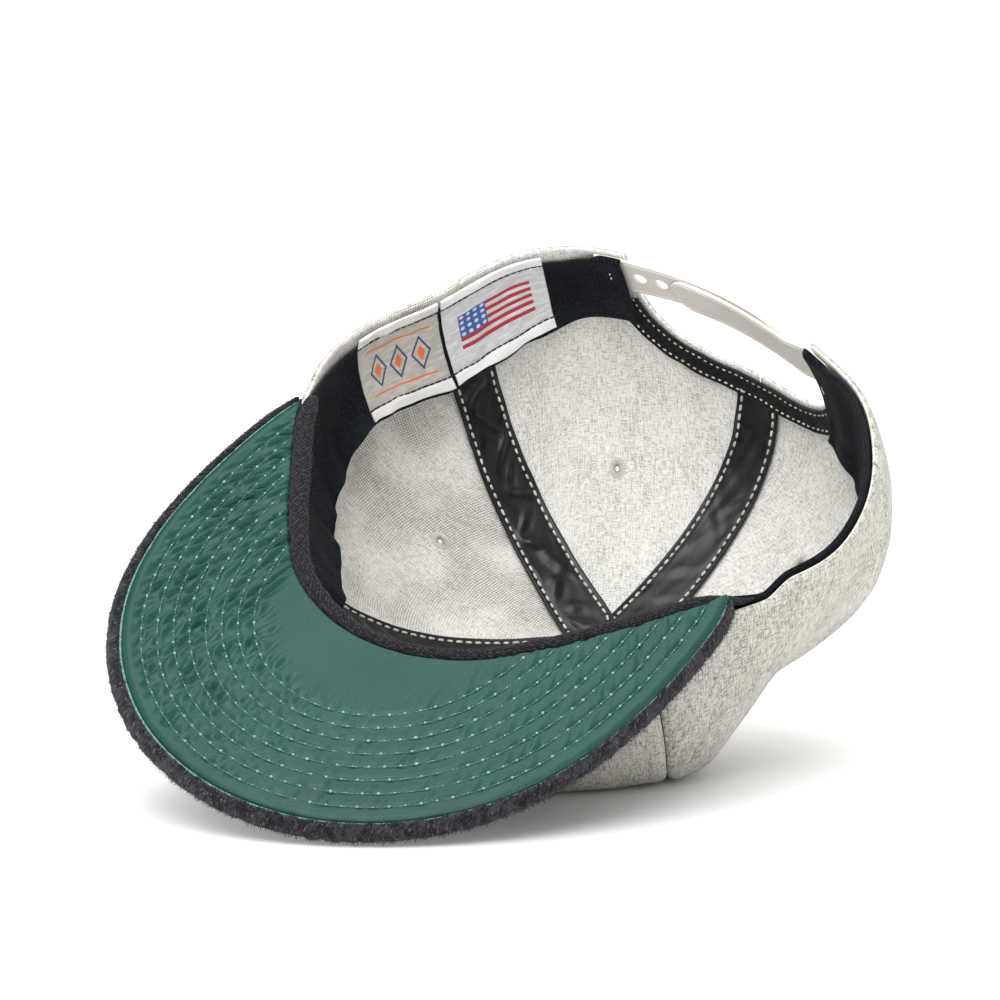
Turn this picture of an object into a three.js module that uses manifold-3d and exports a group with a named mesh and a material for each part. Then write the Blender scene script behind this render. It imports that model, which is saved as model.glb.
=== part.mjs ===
// Snapback cap of six wool panels, lying upside down and tipped forward on its crown and brim.
// Millimetres. It is modelled as it is worn: X to the wearer's right, Y to the front and Z up into
// the crown, with the rim in the plane Z = 0. A bearing is an angle round the head in degrees from
// the front, growing to the wearer's right, and a rise is a share of the quarter turn from rim (0)
// to crown top (1). The last section tips the finished cap over and lays it down.
import * as THREE from 'three';
import { mergeVertices } from 'three/addons/utils/BufferGeometryUtils.js';
import Module from 'manifold-3d';

const wasm = await Module();
wasm.setup();

// Driving dimensions
const RIM_RADIUS = 94.5;         // mean radius of the rim, a head of about 59 cm
const CROWN_DEPTH = 94;          // rim plane to crown top
const WALL = 1.8;                // wool flannel with its fused backing
const GAP = 0.3;                 // left between pieces that touch
const TOP_SHIFT_RIGHT = 14.7;    // the soft crown has slumped to one side
const TOP_SHIFT_FRONT = -2.7;
const WAIST_SHIFT_RIGHT = 4.4;
const WAIST_SHIFT_FRONT = 7.8;
const TOP_HOLE_RISE = 0.975;     // where the panels stop, under the button
const HEM_LIFT = 0.3;            // panels stop this far above the brim's cover
const BRIM_CLEAR = 6.5;          // degrees past the brim's corner where the hem starts to drop

const ARCH_HALF = 39.5;          // rear opening, half width along the rim
const ARCH_HEIGHT = 41.5;        // measured up the wall
const ARCH_POWER = 3;            // squareness of its shoulders
const ARCH_TAPE = 8.5;           // width of the tape that binds it
const SEAM_TAPE = 17.6;          // width of the tapes over the seams
const TAPE_THICKNESS = 0.7;
const TAPE_CLEARANCE = 0.95;     // tape to wall, which leaves room for their facets
const TAPE_FOOT = 27;            // the seam tapes start this far above the rim, in the sweatband

const BRIM_LENGTH = 70;          // joint to front edge, on the centre line
const BRIM_HALF_WIDTH = 86.2;
const BRIM_SIDE_SHIFT = 1.4;     // the brim has swung a little to the wearer's right
const BRIM_CORNER = 70.4;        // bearing of each end of the brim
const COVER_THICKNESS = 2;       // wool cover over the board
const UNDER_THICKNESS = 1.7;     // board with its satin underside
const LIP_WIDTH = 4;             // the cover wraps this far under the edge
const BRIM_TUCK = 0.9;           // the brim reaches this far in under the wall

const ROLL_RADIUS = 2.4;         // rolled hem that hides the joint
const BAND_THICKNESS = 1.2;
const BAND_CLEARANCE = 0.7;      // band to wall, which leaves room for their facets
const BAND_HEIGHT = 34;
const BAND_FOOT = 4.6;           // wool shows this far beyond the sweatband
const LABEL_THICKNESS = 0.6;
const LABEL_CLEARANCE = 0.5;
const LABEL_HEIGHT = 37;         // folded over the rim edge, cut to follow the band's height
const LABEL_FOOT = 0.4;

const STRAP_WIDTH = 16.8;
const STRAP_THICKNESS = 1.2;
const STRAP_CLEARANCE = 0.8;     // strap to wall, where it tucks in
const STRAP_FOOT = 0.4;
const STRAP_TUCK = 10;           // hidden between wall and sweatband
const STRAP_OVERLAP = 23;        // each strap runs this far past the middle
const STRAP_RUNOUT = 6;          // beyond the overlap the inner strap closes up to the wall
const PEG_PITCH = 7.6;
const PEG_COUNT = 7;
const HOLE_COUNT = 8;
const HOLE_RADIUS = 2.2;
const PEG_CLEARANCE = 0.35;
const PEG_PROUD = 0.8;
const PEG_START = 0.6;           // first hole from the strap's visible end, in pitches

const EYELET_RADIUS = 3;
const EYELET_BORE = 0.9;
const EYELET_RISE = 0.6;
const BUTTON_RADIUS = 7.5;
const BUTTON_HEIGHT = 3.4;
const SHANK_RADIUS = 3;

const LYING_TILT = 38.8;         // crown axis from upright, once it is turned over
const LYING_BEARING = 32.5;      // the cap leans towards this bearing
const SETTLE = 6;                // how gradually the wool turns onto the surface below

// Where the seams run, as bearings.
const SEAMS = [
  { name: 'front', bearing: 0 },
  { name: 'front_right', bearing: 52 },
  { name: 'rear_right', bearing: 117 },
  { name: 'back', bearing: 177 },
  { name: 'rear_left', bearing: 237.6 },
  { name: 'front_left', bearing: 308 },
];
const BACK = SEAMS[3].bearing;

// Where each panel's eyelet sits, as a bearing.
const EYELETS = {
  front_right: 26,
  side_right: 84.5,
  rear_right: 148.5,
  rear_left: 208.3,
  side_left: 263.5,
  front_left: 334,
};

// Plan of the rim: reach is a share of RIM_RADIUS.
const RIM = [
  { bearing: 0, reach: 1.069 },
  { bearing: 17, reach: 1.031 },
  { bearing: 33, reach: 0.942 },
  { bearing: 49, reach: 0.889 },
  { bearing: 68, reach: 0.902 },
  { bearing: 80, reach: 0.968 },
  { bearing: 92, reach: 1.036 },
  { bearing: 104, reach: 1.052 },
  { bearing: 121, reach: 1.048 },
  { bearing: 136, reach: 1.043 },
  { bearing: 150, reach: 1.003 },
  { bearing: 165, reach: 0.982 },
  { bearing: 180, reach: 0.99 },
  { bearing: 195, reach: 1.012 },
  { bearing: 210, reach: 1.048 },
  { bearing: 222, reach: 1.03 },
  { bearing: 244, reach: 0.905 },
  { bearing: 266, reach: 0.927 },
  { bearing: 278, reach: 0.921 },
  { bearing: 292, reach: 0.902 },
  { bearing: 311, reach: 0.889 },
  { bearing: 327, reach: 0.942 },
  { bearing: 343, reach: 1.031 },
];

// How far the wall swells between rim and top, as a share of its reach.
const BELLY = [
  { bearing: 0, swell: 0.155 },
  { bearing: 30, swell: 0.2 },
  { bearing: 60, swell: 0.18 },
  { bearing: 90, swell: -0.09 },
  { bearing: 120, swell: 0.09 },
  { bearing: 150, swell: 0.24 },
  { bearing: 180, swell: 0.3 },
  { bearing: 210, swell: 0.25 },
  { bearing: 240, swell: 0.21 },
  { bearing: 270, swell: 0.235 },
  { bearing: 300, swell: 0.26 },
  { bearing: 330, swell: 0.18 },
];

// Soft dents in the wool: depth in shares of CROWN_DEPTH, spread in degrees and in rise.
const DENTS = [
  { bearing: 84, rise: 0.62, spread: 16, tall: 0.1, depth: 0.022 },
  { bearing: 128, rise: 0.3, spread: 14, tall: 0.16, depth: -0.012 },
  { bearing: 100, rise: 0.3, spread: 12, tall: 0.14, depth: 0.014 },
  { bearing: 228, rise: 0.32, spread: 12, tall: 0.2, depth: 0.012 },
  { bearing: 284, rise: 0.5, spread: 15, tall: 0.15, depth: 0.014 },
  { bearing: 338, rise: 0.42, spread: 10, tall: 0.16, depth: 0.014 },
];

// The sweatband: how far its free edge stands off the wall, and how tall it is, as shares of
// BAND_HEIGHT.
const BAND = [
  { bearing: 0, flare: 0.25, tall: 1 },
  { bearing: 40, flare: 0.24, tall: 1 },
  { bearing: 80, flare: 0.16, tall: 1 },
  { bearing: 105, flare: 0.21, tall: 1 },
  { bearing: 120, flare: 0.26, tall: 1 },
  { bearing: 132, flare: 0.21, tall: 1 },
  { bearing: 146, flare: 0.11, tall: 0.98 },
  { bearing: 204, flare: 0.08, tall: 0.7 },
  { bearing: 219, flare: 0.09, tall: 0.86 },
  { bearing: 232, flare: 0.12, tall: 0.94 },
  { bearing: 248, flare: 0.2, tall: 0.92 },
  { bearing: 264, flare: 0.29, tall: 0.87 },
  { bearing: 278, flare: 0.26, tall: 0.98 },
  { bearing: 292, flare: 0.3, tall: 1.03 },
  { bearing: 303, flare: 0.35, tall: 1 },
  { bearing: 315, flare: 0.38, tall: 1 },
  { bearing: 338, flare: 0.28, tall: 1 },
];

// Half of the brim's edge from front to corner, as shares of its half width and its reach.
const BRIM_EDGE = [
  { side: 0, forward: 1 },
  { side: 0.33, forward: 0.964 },
  { side: 0.615, forward: 0.861 },
  { side: 0.82, forward: 0.713 },
  { side: 0.937, forward: 0.543 },
  { side: 0.987, forward: 0.376 },
  { side: 1, forward: 0.2155 },
  { side: 0.99, forward: 0.08 },
  { side: 0.968, forward: 0.022 },
];

const LABELS = [
  { name: 'label_silver', from: 244.7, to: 266 },
  { name: 'label_striped', from: 218.5, to: 243.9 },
];

// Finishes
function cloth(color, roughness) {
  return new THREE.MeshStandardMaterial({ color, roughness, metalness: 0 });
}
const wool = cloth(0xcfcdc8, 0.95);
const charcoalWool = cloth(0x303136, 0.95);
const greenSatin = cloth(0x3a766a, 0.5);
const navyTwill = cloth(0x1b1f25, 0.85);
const blackTape = cloth(0x141417, 0.45);
const eyeletThread = cloth(0xd8d2c8, 0.8);
const silverLabel = cloth(0xc9c5bb, 0.5);
const stripedLabel = cloth(0xd9d9dc, 0.5);
const strapPlastic = cloth(0xd6d0ca, 0.4);

const worn = new THREE.Group();

function addPiece(name, geometry, material) {
  const mesh = new THREE.Mesh(geometry, material);
  mesh.name = name;
  worn.add(mesh);
}

const radians = THREE.MathUtils.degToRad;
const clamp = THREE.MathUtils.clamp;
const lerp = THREE.MathUtils.lerp;
const smoothstep = THREE.MathUtils.smoothstep;

// Smooth closed interpolation of one column of a table by bearing.
function around(table, column, bearing) {
  const count = table.length;
  const turn = ((bearing % 360) + 360) % 360;
  const at = (k) => {
    const row = table[((k % count) + count) % count];
    return { bearing: row.bearing + 360 * Math.floor(k / count), value: row[column] };
  };
  let k = count - 1;
  while (k > 0 && table[k].bearing > turn) k -= 1;
  const [before, start, end, after] = [at(k - 1), at(k), at(k + 1), at(k + 2)];
  const span = end.bearing - start.bearing;
  const slopeStart = (end.value - before.value) / (end.bearing - before.bearing);
  const slopeEnd = (after.value - start.value) / (after.bearing - start.bearing);
  const t = (turn - start.bearing) / span;
  return (2 * t ** 3 - 3 * t ** 2 + 1) * start.value + (t ** 3 - 2 * t ** 2 + t) * span * slopeStart
    + (3 * t ** 2 - 2 * t ** 3) * end.value + (t ** 3 - t ** 2) * span * slopeEnd;
}

// Direction that points down once the cap lies on its crown, and the depth that the brim's edge
// reaches that way: wool that would go deeper is flattened there.
const down = new THREE.Vector3(
  Math.sin(radians(LYING_TILT)) * Math.sin(radians(LYING_BEARING)),
  Math.sin(radians(LYING_TILT)) * Math.cos(radians(LYING_BEARING)),
  Math.cos(radians(LYING_TILT)),
);
const BRIM_THICKNESS = UNDER_THICKNESS + GAP + COVER_THICKNESS;
const brimFront = RIM_RADIUS * RIM[0].reach + BRIM_LENGTH;
const brimCornerForward = RIM_RADIUS * around(RIM, 'reach', BRIM_CORNER) * Math.cos(radians(BRIM_CORNER));

function brimEdgePoint(row, side) {
  const y = lerp(brimCornerForward, brimFront, row.forward);
  return new THREE.Vector3(side * row.side * BRIM_HALF_WIDTH + BRIM_SIDE_SHIFT, y, 0);
}
const brimEdge = new THREE.CatmullRomCurve3([
  ...BRIM_EDGE.slice(1).reverse().map((row) => brimEdgePoint(row, -1)),
  ...BRIM_EDGE.map((row) => brimEdgePoint(row, 1)),
]);
const brimTop = new THREE.Vector3(0, 0, BRIM_THICKNESS);
const BRIM_COLUMNS = 30;

function brimOuter(column) {
  return brimEdge.getPointAt(column / BRIM_COLUMNS);
}
let restDepth = 0;
for (let column = 0; column <= BRIM_COLUMNS; column += 1) {
  restDepth = Math.max(restDepth, brimOuter(column).add(brimTop).dot(down));
}

// The crown's outer surface, before and after it settles on what it lies on.
function freeSkin(bearing, rise) {
  const angle = radians(bearing);
  const quarter = (rise * Math.PI) / 2;
  const waist = Math.sin(rise * Math.PI);
  const height = Math.sin(quarter);
  let reach = RIM_RADIUS * around(RIM, 'reach', bearing)
    * (Math.cos(quarter) + around(BELLY, 'swell', bearing) * waist);
  for (const dent of DENTS) {
    const away = ((bearing - dent.bearing + 540) % 360) - 180;
    const fade = Math.exp(-((away / dent.spread) ** 2) - ((rise - dent.rise) / dent.tall) ** 2);
    reach -= dent.depth * CROWN_DEPTH * fade;
  }
  return new THREE.Vector3(
    reach * Math.sin(angle) + TOP_SHIFT_RIGHT * height + WAIST_SHIFT_RIGHT * waist,
    reach * Math.cos(angle) + TOP_SHIFT_FRONT * height + WAIST_SHIFT_FRONT * waist,
    CROWN_DEPTH * height,
  );
}

function skin(bearing, rise) {
  const point = freeSkin(bearing, rise);
  const over = point.dot(down) - restDepth;
  if (over <= -SETTLE) return point;
  const settled = over >= SETTLE ? 0 : -((over - SETTLE) ** 2) / (4 * SETTLE);
  return point.addScaledVector(down, settled - over);
}

function skinNormal(bearing, rise) {
  const upward = skin(bearing, rise + 0.004).sub(skin(bearing, rise - 0.004));
  const onward = skin(bearing + 0.4, rise).sub(skin(bearing - 0.4, rise));
  return upward.cross(onward).normalize();
}

function crown(bearing, rise, inset) {
  return skin(bearing, rise).addScaledVector(skinNormal(bearing, rise), -inset);
}

// Rise that lies a given distance up the wall from the rim, and the one at a given height.
function riseAlong(bearing, distance) {
  const steps = 60;
  let last = freeSkin(bearing, 0);
  let walked = 0;
  for (let k = 1; k <= steps; k += 1) {
    const next = freeSkin(bearing, k / steps);
    const step = next.distanceTo(last);
    if (walked + step >= distance) return (k - 1 + (distance - walked) / step) / steps;
    walked += step;
    last = next;
  }
  return 1;
}

function riseAtHeight(height) {
  return (2 / Math.PI) * Math.asin(clamp(height / CROWN_DEPTH, 0, 1));
}

// A closed slab between two matched grids of points, with its faces turned outwards.
function slab(columns, rows, front, back) {
  const across = columns + 1;
  const layer = across * (rows + 1);
  const positions = [];
  for (const side of [front, back]) {
    for (let j = 0; j <= rows; j += 1) {
      for (let i = 0; i <= columns; i += 1) positions.push(...side(i, j).toArray());
    }
  }
  const index = [];
  const quad = (a, b, c, d) => index.push(a, b, c, a, c, d);
  const at = (i, j, side) => side * layer + j * across + i;
  for (let j = 0; j < rows; j += 1) {
    for (let i = 0; i < columns; i += 1) {
      quad(at(i, j, 0), at(i + 1, j, 0), at(i + 1, j + 1, 0), at(i, j + 1, 0));
      quad(at(i, j, 1), at(i, j + 1, 1), at(i + 1, j + 1, 1), at(i + 1, j, 1));
    }
    quad(at(0, j, 0), at(0, j + 1, 0), at(0, j + 1, 1), at(0, j, 1));
    quad(at(columns, j, 0), at(columns, j, 1), at(columns, j + 1, 1), at(columns, j + 1, 0));
  }
  for (let i = 0; i < columns; i += 1) {
    quad(at(i, 0, 0), at(i, 0, 1), at(i + 1, 0, 1), at(i + 1, 0, 0));
    quad(at(i, rows, 0), at(i + 1, rows, 0), at(i + 1, rows, 1), at(i, rows, 1));
  }
  const geometry = new THREE.BufferGeometry();
  geometry.setAttribute('position', new THREE.Float32BufferAttribute(positions, 3));
  if (signedVolume(positions, index) < 0) index.reverse();
  geometry.setIndex(index);
  return geometry;
}

function signedVolume(positions, index) {
  const corner = (k) => new THREE.Vector3().fromArray(positions, 3 * index[k]);
  let volume = 0;
  for (let k = 0; k < index.length; k += 3) {
    volume += corner(k).dot(corner(k + 1).cross(corner(k + 2))) / 6;
  }
  return volume;
}

// Booleans
function toSolid(geometry) {
  const bare = geometry.clone();
  bare.deleteAttribute('normal');
  bare.deleteAttribute('uv');
  const merged = mergeVertices(bare, 1e-4);
  return new wasm.Manifold(new wasm.Mesh({
    numProp: 3,
    vertProperties: new Float32Array(merged.attributes.position.array),
    triVerts: new Uint32Array(merged.index.array),
  }));
}

function toGeometry(solid) {
  const mesh = solid.getMesh();
  const geometry = new THREE.BufferGeometry();
  geometry.setAttribute('position', new THREE.BufferAttribute(mesh.vertProperties, 3));
  geometry.setIndex(new THREE.BufferAttribute(mesh.triVerts, 1));
  return geometry;
}

// A turned shape whose axis lies along a direction, with its zero height at a point.
function turned(profile, sides, point, direction) {
  const geometry = new THREE.LatheGeometry(profile.map(([r, h]) => new THREE.Vector2(r, h)), sides);
  const turn = new THREE.Quaternion().setFromUnitVectors(new THREE.Vector3(0, 1, 0), direction);
  geometry.applyQuaternion(turn);
  geometry.translate(point.x, point.y, point.z);
  return geometry;
}

function pin(radius, bottom, top, point, direction) {
  return turned([[0, bottom], [radius, bottom], [radius, top], [0, top]], 10, point, direction);
}

// Height of the arch's cut edge up the wall, at a distance along the rim from the back seam.
function archEdge(distance) {
  const share = Math.abs(distance) / ARCH_HALF;
  return share >= 1 ? 0 : ARCH_HEIGHT * (1 - share ** ARCH_POWER) ** (1 / ARCH_POWER);
}

function bearingAlong(distance) {
  return BACK - THREE.MathUtils.radToDeg(distance / RIM_RADIUS);
}

// A point on the back wall by its distance to the wearer's right and its distance up from the rim.
function backWall(distance, up, inset) {
  const bearing = bearingAlong(distance);
  return crown(bearing, riseAlong(bearing, up), inset);
}

// Crown panels. Over the brim they stop above its cover; at the back they are cut by the arch.
const overBrim = riseAtHeight(BRIM_THICKNESS + HEM_LIFT);

function panelFoot(bearing) {
  const turn = Math.abs(((bearing + 540) % 360) - 180);
  const lift = overBrim * (1 - smoothstep(turn, BRIM_CORNER + BRIM_CLEAR, BRIM_CORNER + 2 * BRIM_CLEAR));
  const distance = radians(BACK - bearing) * RIM_RADIUS;
  const edge = archEdge(distance);
  return edge > 0 ? riseAlong(bearing, edge) : lift;
}

// Half of the gap between two panels, as a bearing at a given rise.
function halfGap(rise) {
  return THREE.MathUtils.radToDeg(GAP / 2 / (RIM_RADIUS * Math.cos((rise * Math.PI) / 2) * 0.9));
}

// Bearings of a panel's columns as shares of its span: even, or crowded where the arch turns.
function evenColumns(count) {
  return Array.from({ length: count + 1 }, (_, k) => k / count);
}

function archColumns(span) {
  const arch = THREE.MathUtils.radToDeg(ARCH_HALF / RIM_RADIUS) / span;
  const crowded = 7;
  const plain = 6;
  const columns = [];
  for (let k = 0; k <= crowded; k += 1) columns.push(arch * Math.sin((k / crowded) * (Math.PI / 2)));
  for (let k = 1; k <= plain; k += 1) columns.push(lerp(arch, 1, k / plain));
  return columns;
}

const PANEL_COLUMN = 6.2;        // degrees, about
const PANEL_ROWS = 13;

function rowRise(bearing, row) {
  return lerp(panelFoot(bearing), TOP_HOLE_RISE, row / PANEL_ROWS);
}

function panel(from, to, columns) {
  const place = (inset) => (i, j) => {
    const rise = rowRise(lerp(from, to, columns[i]), j);
    const spare = halfGap(rise);
    return crown(lerp(from + spare, to - spare, columns[i]), rise, inset);
  };
  return slab(columns.length - 1, PANEL_ROWS, place(0), place(WALL));
}

// Each panel runs from one seam to the next; the two at the back have columns crowded over the
// arch, which stands at the start of one and at the end of the other.
const PANEL_NAMES = ['front_right', 'side_right', 'rear_right', 'rear_left', 'side_left', 'front_left'];
const PANELS = PANEL_NAMES.map((name, k) => {
  const from = SEAMS[k].bearing;
  const to = k + 1 < SEAMS.length ? SEAMS[k + 1].bearing : 360;
  let columns = evenColumns(Math.round((to - from) / PANEL_COLUMN));
  if (from === BACK) columns = archColumns(to - from);
  if (to === BACK) columns = archColumns(to - from).map((share) => 1 - share).reverse();
  return { name, from, to, columns };
});

// Eyelets: a sewn ring that fills a round hole in each panel, flush outside and proud inside.
for (const { name, from, to, columns } of PANELS) {
  const point = crown(EYELETS[name], EYELET_RISE, WALL / 2);
  const normal = skinNormal(EYELETS[name], EYELET_RISE);
  const hole = toSolid(pin(EYELET_RADIUS + GAP, -2 * WALL, 2 * WALL, point, normal));
  addPiece(`${name}_panel`, toGeometry(toSolid(panel(from, to, columns)).subtract(hole)), wool);
  const inner = -WALL / 2 - 2 * GAP;
  const outer = WALL / 2 - GAP;
  const ring = [[EYELET_BORE, inner], [EYELET_RADIUS, inner], [EYELET_RADIUS, outer], [EYELET_BORE, outer]];
  const eyelet = turned([...ring, ring[0]], 10, point, normal);
  addPiece(`${name}_eyelet`, toGeometry(toSolid(eyelet)), eyeletThread);
}

// Button: a wool dome over the hole where the panels meet, with its shank.
const crownTop = freeSkin(0, 1);
const dome = [
  [0, GAP + BUTTON_HEIGHT],
  [BUTTON_RADIUS * 0.5, GAP + BUTTON_HEIGHT * 0.88],
  [BUTTON_RADIUS * 0.87, GAP + BUTTON_HEIGHT * 0.5],
  [BUTTON_RADIUS, GAP],
  [SHANK_RADIUS, GAP],
  [SHANK_RADIUS, -WALL],
  [0, -WALL],
];
addPiece('top_button', turned(dome.reverse(), 14, crownTop, new THREE.Vector3(0, 0, 1)), wool);

// Seam tapes run up the inside of each seam and narrow to a point where all six meet.
const tapeOuter = WALL + TAPE_CLEARANCE;
const tapeInner = tapeOuter + TAPE_THICKNESS;
const sharpest = Math.min(...SEAMS.map((seam, k) => {
  const next = SEAMS[(k + 1) % SEAMS.length].bearing;
  return (((next - seam.bearing) % 360) + 360) % 360;
})) / 2 - 1.5;

for (const { name, bearing } of SEAMS) {
  const foot = bearing === BACK
    ? riseAlong(bearing, ARCH_HEIGHT + ARCH_TAPE + GAP + WALL)
    : riseAtHeight(TAPE_FOOT);
  const rises = [foot];
  for (let row = 1; row <= PANEL_ROWS; row += 1) {
    if (rowRise(bearing, row) > foot + 0.02) rises.push(rowRise(bearing, row));
  }
  const place = (inset) => (i, j) => {
    const rise = rises[j];
    const centre = freeSkin(bearing, rise);
    const axis = freeSkin(bearing + 180, rise);
    const radius = Math.max(centre.distanceTo(axis) / 2 - tapeInner, GAP);
    const spread = Math.min(THREE.MathUtils.radToDeg(Math.atan(SEAM_TAPE / 2 / radius)), sharpest);
    return crown(bearing + spread * (i - 1), rise, inset);
  };
  addPiece(`${name}_seam_tape`, slab(2, rises.length - 1, place(tapeOuter), place(tapeInner)), blackTape);
}

// Arch tape follows the cut edge inside, from above one end of the strap to above the other.
const ARCH_TAPE_STEPS = 24;
const strapTop = STRAP_FOOT + STRAP_WIDTH;

function archPoint(angle, out) {
  const power = 2 / ARCH_POWER;
  const at = (turn) => new THREE.Vector2(
    ARCH_HALF * Math.sign(Math.cos(turn)) * Math.abs(Math.cos(turn)) ** power,
    ARCH_HEIGHT * Math.abs(Math.sin(turn)) ** power,
  );
  const along = at(angle + 0.01).sub(at(angle - 0.01)).normalize();
  return at(angle).add(new THREE.Vector2(along.y, -along.x).multiplyScalar(out));
}
const archStart = Math.asin(((strapTop + 2 * WALL) / ARCH_HEIGHT) ** (ARCH_POWER / 2));
const archTapePlace = (inset) => (i, j) => {
  const angle = lerp(archStart, Math.PI - archStart, j / ARCH_TAPE_STEPS);
  const point = archPoint(angle, WALL / 2 + (ARCH_TAPE * i) / 2);
  return backWall(point.x, point.y, inset);
};
addPiece('arch_tape', slab(2, ARCH_TAPE_STEPS, archTapePlace(tapeOuter), archTapePlace(tapeInner)), blackTape);

// Straps: both tuck in between wall and sweatband; the pegged one lies inside the holed one.
const strapOuter = WALL + STRAP_CLEARANCE;
const strapStep = STRAP_THICKNESS + 2 * GAP;
const STRAP_COLUMNS = 18;

function strapEdge(distanceToTip, side) {
  const half = STRAP_WIDTH / 2;
  const along = clamp(distanceToTip, 0, half);
  return half + side * Math.sqrt(half ** 2 - (half - along) ** 2 + 4);
}

function strap(tip, root, insetAt) {
  const place = (layer) => (i, j) => {
    const share = Math.sin((i / STRAP_COLUMNS) * (Math.PI / 2)) ** 2;
    const eased = lerp(share, i / STRAP_COLUMNS, 0.7);
    const distance = lerp(tip, root, eased);
    const edge = strapEdge(Math.abs(distance - tip), j - 1);
    const width = j === 1 ? STRAP_WIDTH / 2 : clamp(edge, 0, STRAP_WIDTH);
    return backWall(distance, STRAP_FOOT + width, insetAt(distance) + layer * STRAP_THICKNESS);
  };
  return slab(STRAP_COLUMNS, 2, place(0), place(1));
}

const holedInset = () => strapOuter;
const peggedInset = (distance) => strapOuter
  + strapStep * (1 - smoothstep(distance, STRAP_OVERLAP + STRAP_RUNOUT, ARCH_HALF));

function strapPin(index, radius, bottom, top) {
  const distance = -ARCH_HALF + PEG_PITCH * (index + PEG_START);
  const bearing = bearingAlong(distance);
  const rise = riseAlong(bearing, STRAP_FOOT + STRAP_WIDTH / 2);
  return pin(radius, bottom, top, crown(bearing, rise, strapOuter), skinNormal(bearing, rise));
}

let holed = toSolid(strap(STRAP_OVERLAP, -ARCH_HALF - STRAP_TUCK, holedInset));
for (let k = 0; k < HOLE_COUNT; k += 1) {
  holed = holed.subtract(toSolid(strapPin(k, HOLE_RADIUS, -2 * STRAP_THICKNESS, STRAP_THICKNESS)));
}
addPiece('strap_with_holes', toGeometry(holed), strapPlastic);

let pegged = toSolid(strap(-STRAP_OVERLAP, ARCH_HALF + STRAP_TUCK, peggedInset));
for (let k = 2; k < 2 + PEG_COUNT; k += 1) {
  const root = -strapStep - STRAP_THICKNESS / 2;
  pegged = pegged.add(toSolid(strapPin(k, HOLE_RADIUS - PEG_CLEARANCE, root, PEG_PROUD)));
}
addPiece('strap_with_pegs', toGeometry(pegged), strapPlastic);

// Sweatband: sewn in at the rim, its free edge stands off the wall in soft waves.
const BAND_COLUMNS = 52;
const BAND_ROWS = 4;
const bandEnd = THREE.MathUtils.radToDeg(ARCH_HALF / RIM_RADIUS);

// The band lies on the wall, and on the straps where they tuck in behind it.
function bandOuter(bearing) {
  const turn = Math.abs(((bearing - BACK + 540) % 360) - 180);
  const tucked = 1 - smoothstep(radians(turn) * RIM_RADIUS, ARCH_HALF + STRAP_TUCK, ARCH_HALF + 2 * STRAP_TUCK);
  return lerp(WALL + BAND_CLEARANCE, strapOuter + STRAP_THICKNESS + GAP, tucked);
}

function bandHeight(bearing, row) {
  return BAND_FOOT + BAND_HEIGHT * around(BAND, 'tall', bearing) * (row / BAND_ROWS);
}

function bandPoint(bearing, height, inset) {
  const share = clamp((height - BAND_FOOT) / BAND_HEIGHT, 0, 1.2);
  const flare = around(BAND, 'flare', bearing) * BAND_HEIGHT * share ** 1.5;
  return crown(bearing, riseAtHeight(height), bandOuter(bearing) + flare + inset);
}
const bandPlace = (inset) => (i, j) => {
  const bearing = lerp(BACK + bandEnd, BACK + 360 - bandEnd, i / BAND_COLUMNS);
  return bandPoint(bearing, bandHeight(bearing, j), inset);
};
addPiece('sweatband', slab(BAND_COLUMNS, BAND_ROWS, bandPlace(0), bandPlace(BAND_THICKNESS)), navyTwill);

// Labels: two woven tags, sewn side by side to the sweatband on the wearer's left.
const labelOuter = BAND_THICKNESS + LABEL_CLEARANCE;
const LABEL_COLUMNS = 6;

for (const { name, from, to } of LABELS) {
  const place = (inset) => (i, j) => {
    const bearing = lerp(from, to, i / LABEL_COLUMNS);
    const share = j === 0 ? 0 : (j + 0.5) / (BAND_ROWS + 0.5);
    const height = LABEL_FOOT + LABEL_HEIGHT * around(BAND, 'tall', bearing) * share;
    return bandPoint(bearing, height, inset);
  };
  const finish = name === 'label_silver' ? silverLabel : stripedLabel;
  const outer = place(labelOuter);
  const inner = place(labelOuter + LABEL_THICKNESS);
  addPiece(name, slab(LABEL_COLUMNS, BAND_ROWS, outer, inner), finish);
}

// A point level with the rim, a given distance inside it.
function insideRim(bearing, distance, height) {
  const inward = skinNormal(bearing, 0).setZ(0).normalize().negate();
  return skin(bearing, 0).addScaledVector(inward, distance).setZ(height);
}

// Brim: a flat board with a satin underside, inside a wool cover that wraps under its edge.
function brimBearing(column) {
  return lerp(-BRIM_CORNER, BRIM_CORNER, column / BRIM_COLUMNS);
}

// A point of the brim at a share of the way out, held back from the edge by a margin.
function brimPoint(column, share, margin, height) {
  const inner = insideRim(brimBearing(column), BRIM_TUCK, 0);
  const outer = brimOuter(column);
  const length = outer.distanceTo(inner);
  const end = Math.max(1 - margin / length, 0.2);
  return inner.lerp(outer, share * end).setZ(height);
}
const COVER_ROWS = 6;

function coverPlace(onTop) {
  return (column, j) => {
    const inLip = j >= COVER_ROWS - 1;
    const margin = inLip ? 0 : LIP_WIDTH;
    const share = inLip ? 1 : j / (COVER_ROWS - 2);
    const bottom = inLip ? 0 : UNDER_THICKNESS + GAP;
    const nudge = j === COVER_ROWS - 1 ? LIP_WIDTH - GAP : margin;
    return brimPoint(column, share, nudge, onTop ? BRIM_THICKNESS : bottom);
  };
}
addPiece('brim_cover', slab(BRIM_COLUMNS, COVER_ROWS, coverPlace(true), coverPlace(false)), charcoalWool);

const UNDER_ROWS = 4;
const underPlace = (height) => (column, j) => (
  brimPoint(column, j / UNDER_ROWS, LIP_WIDTH + GAP, height)
);
addPiece('brim_underside', slab(BRIM_COLUMNS, UNDER_ROWS, underPlace(0), underPlace(UNDER_THICKNESS)), greenSatin);

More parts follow.
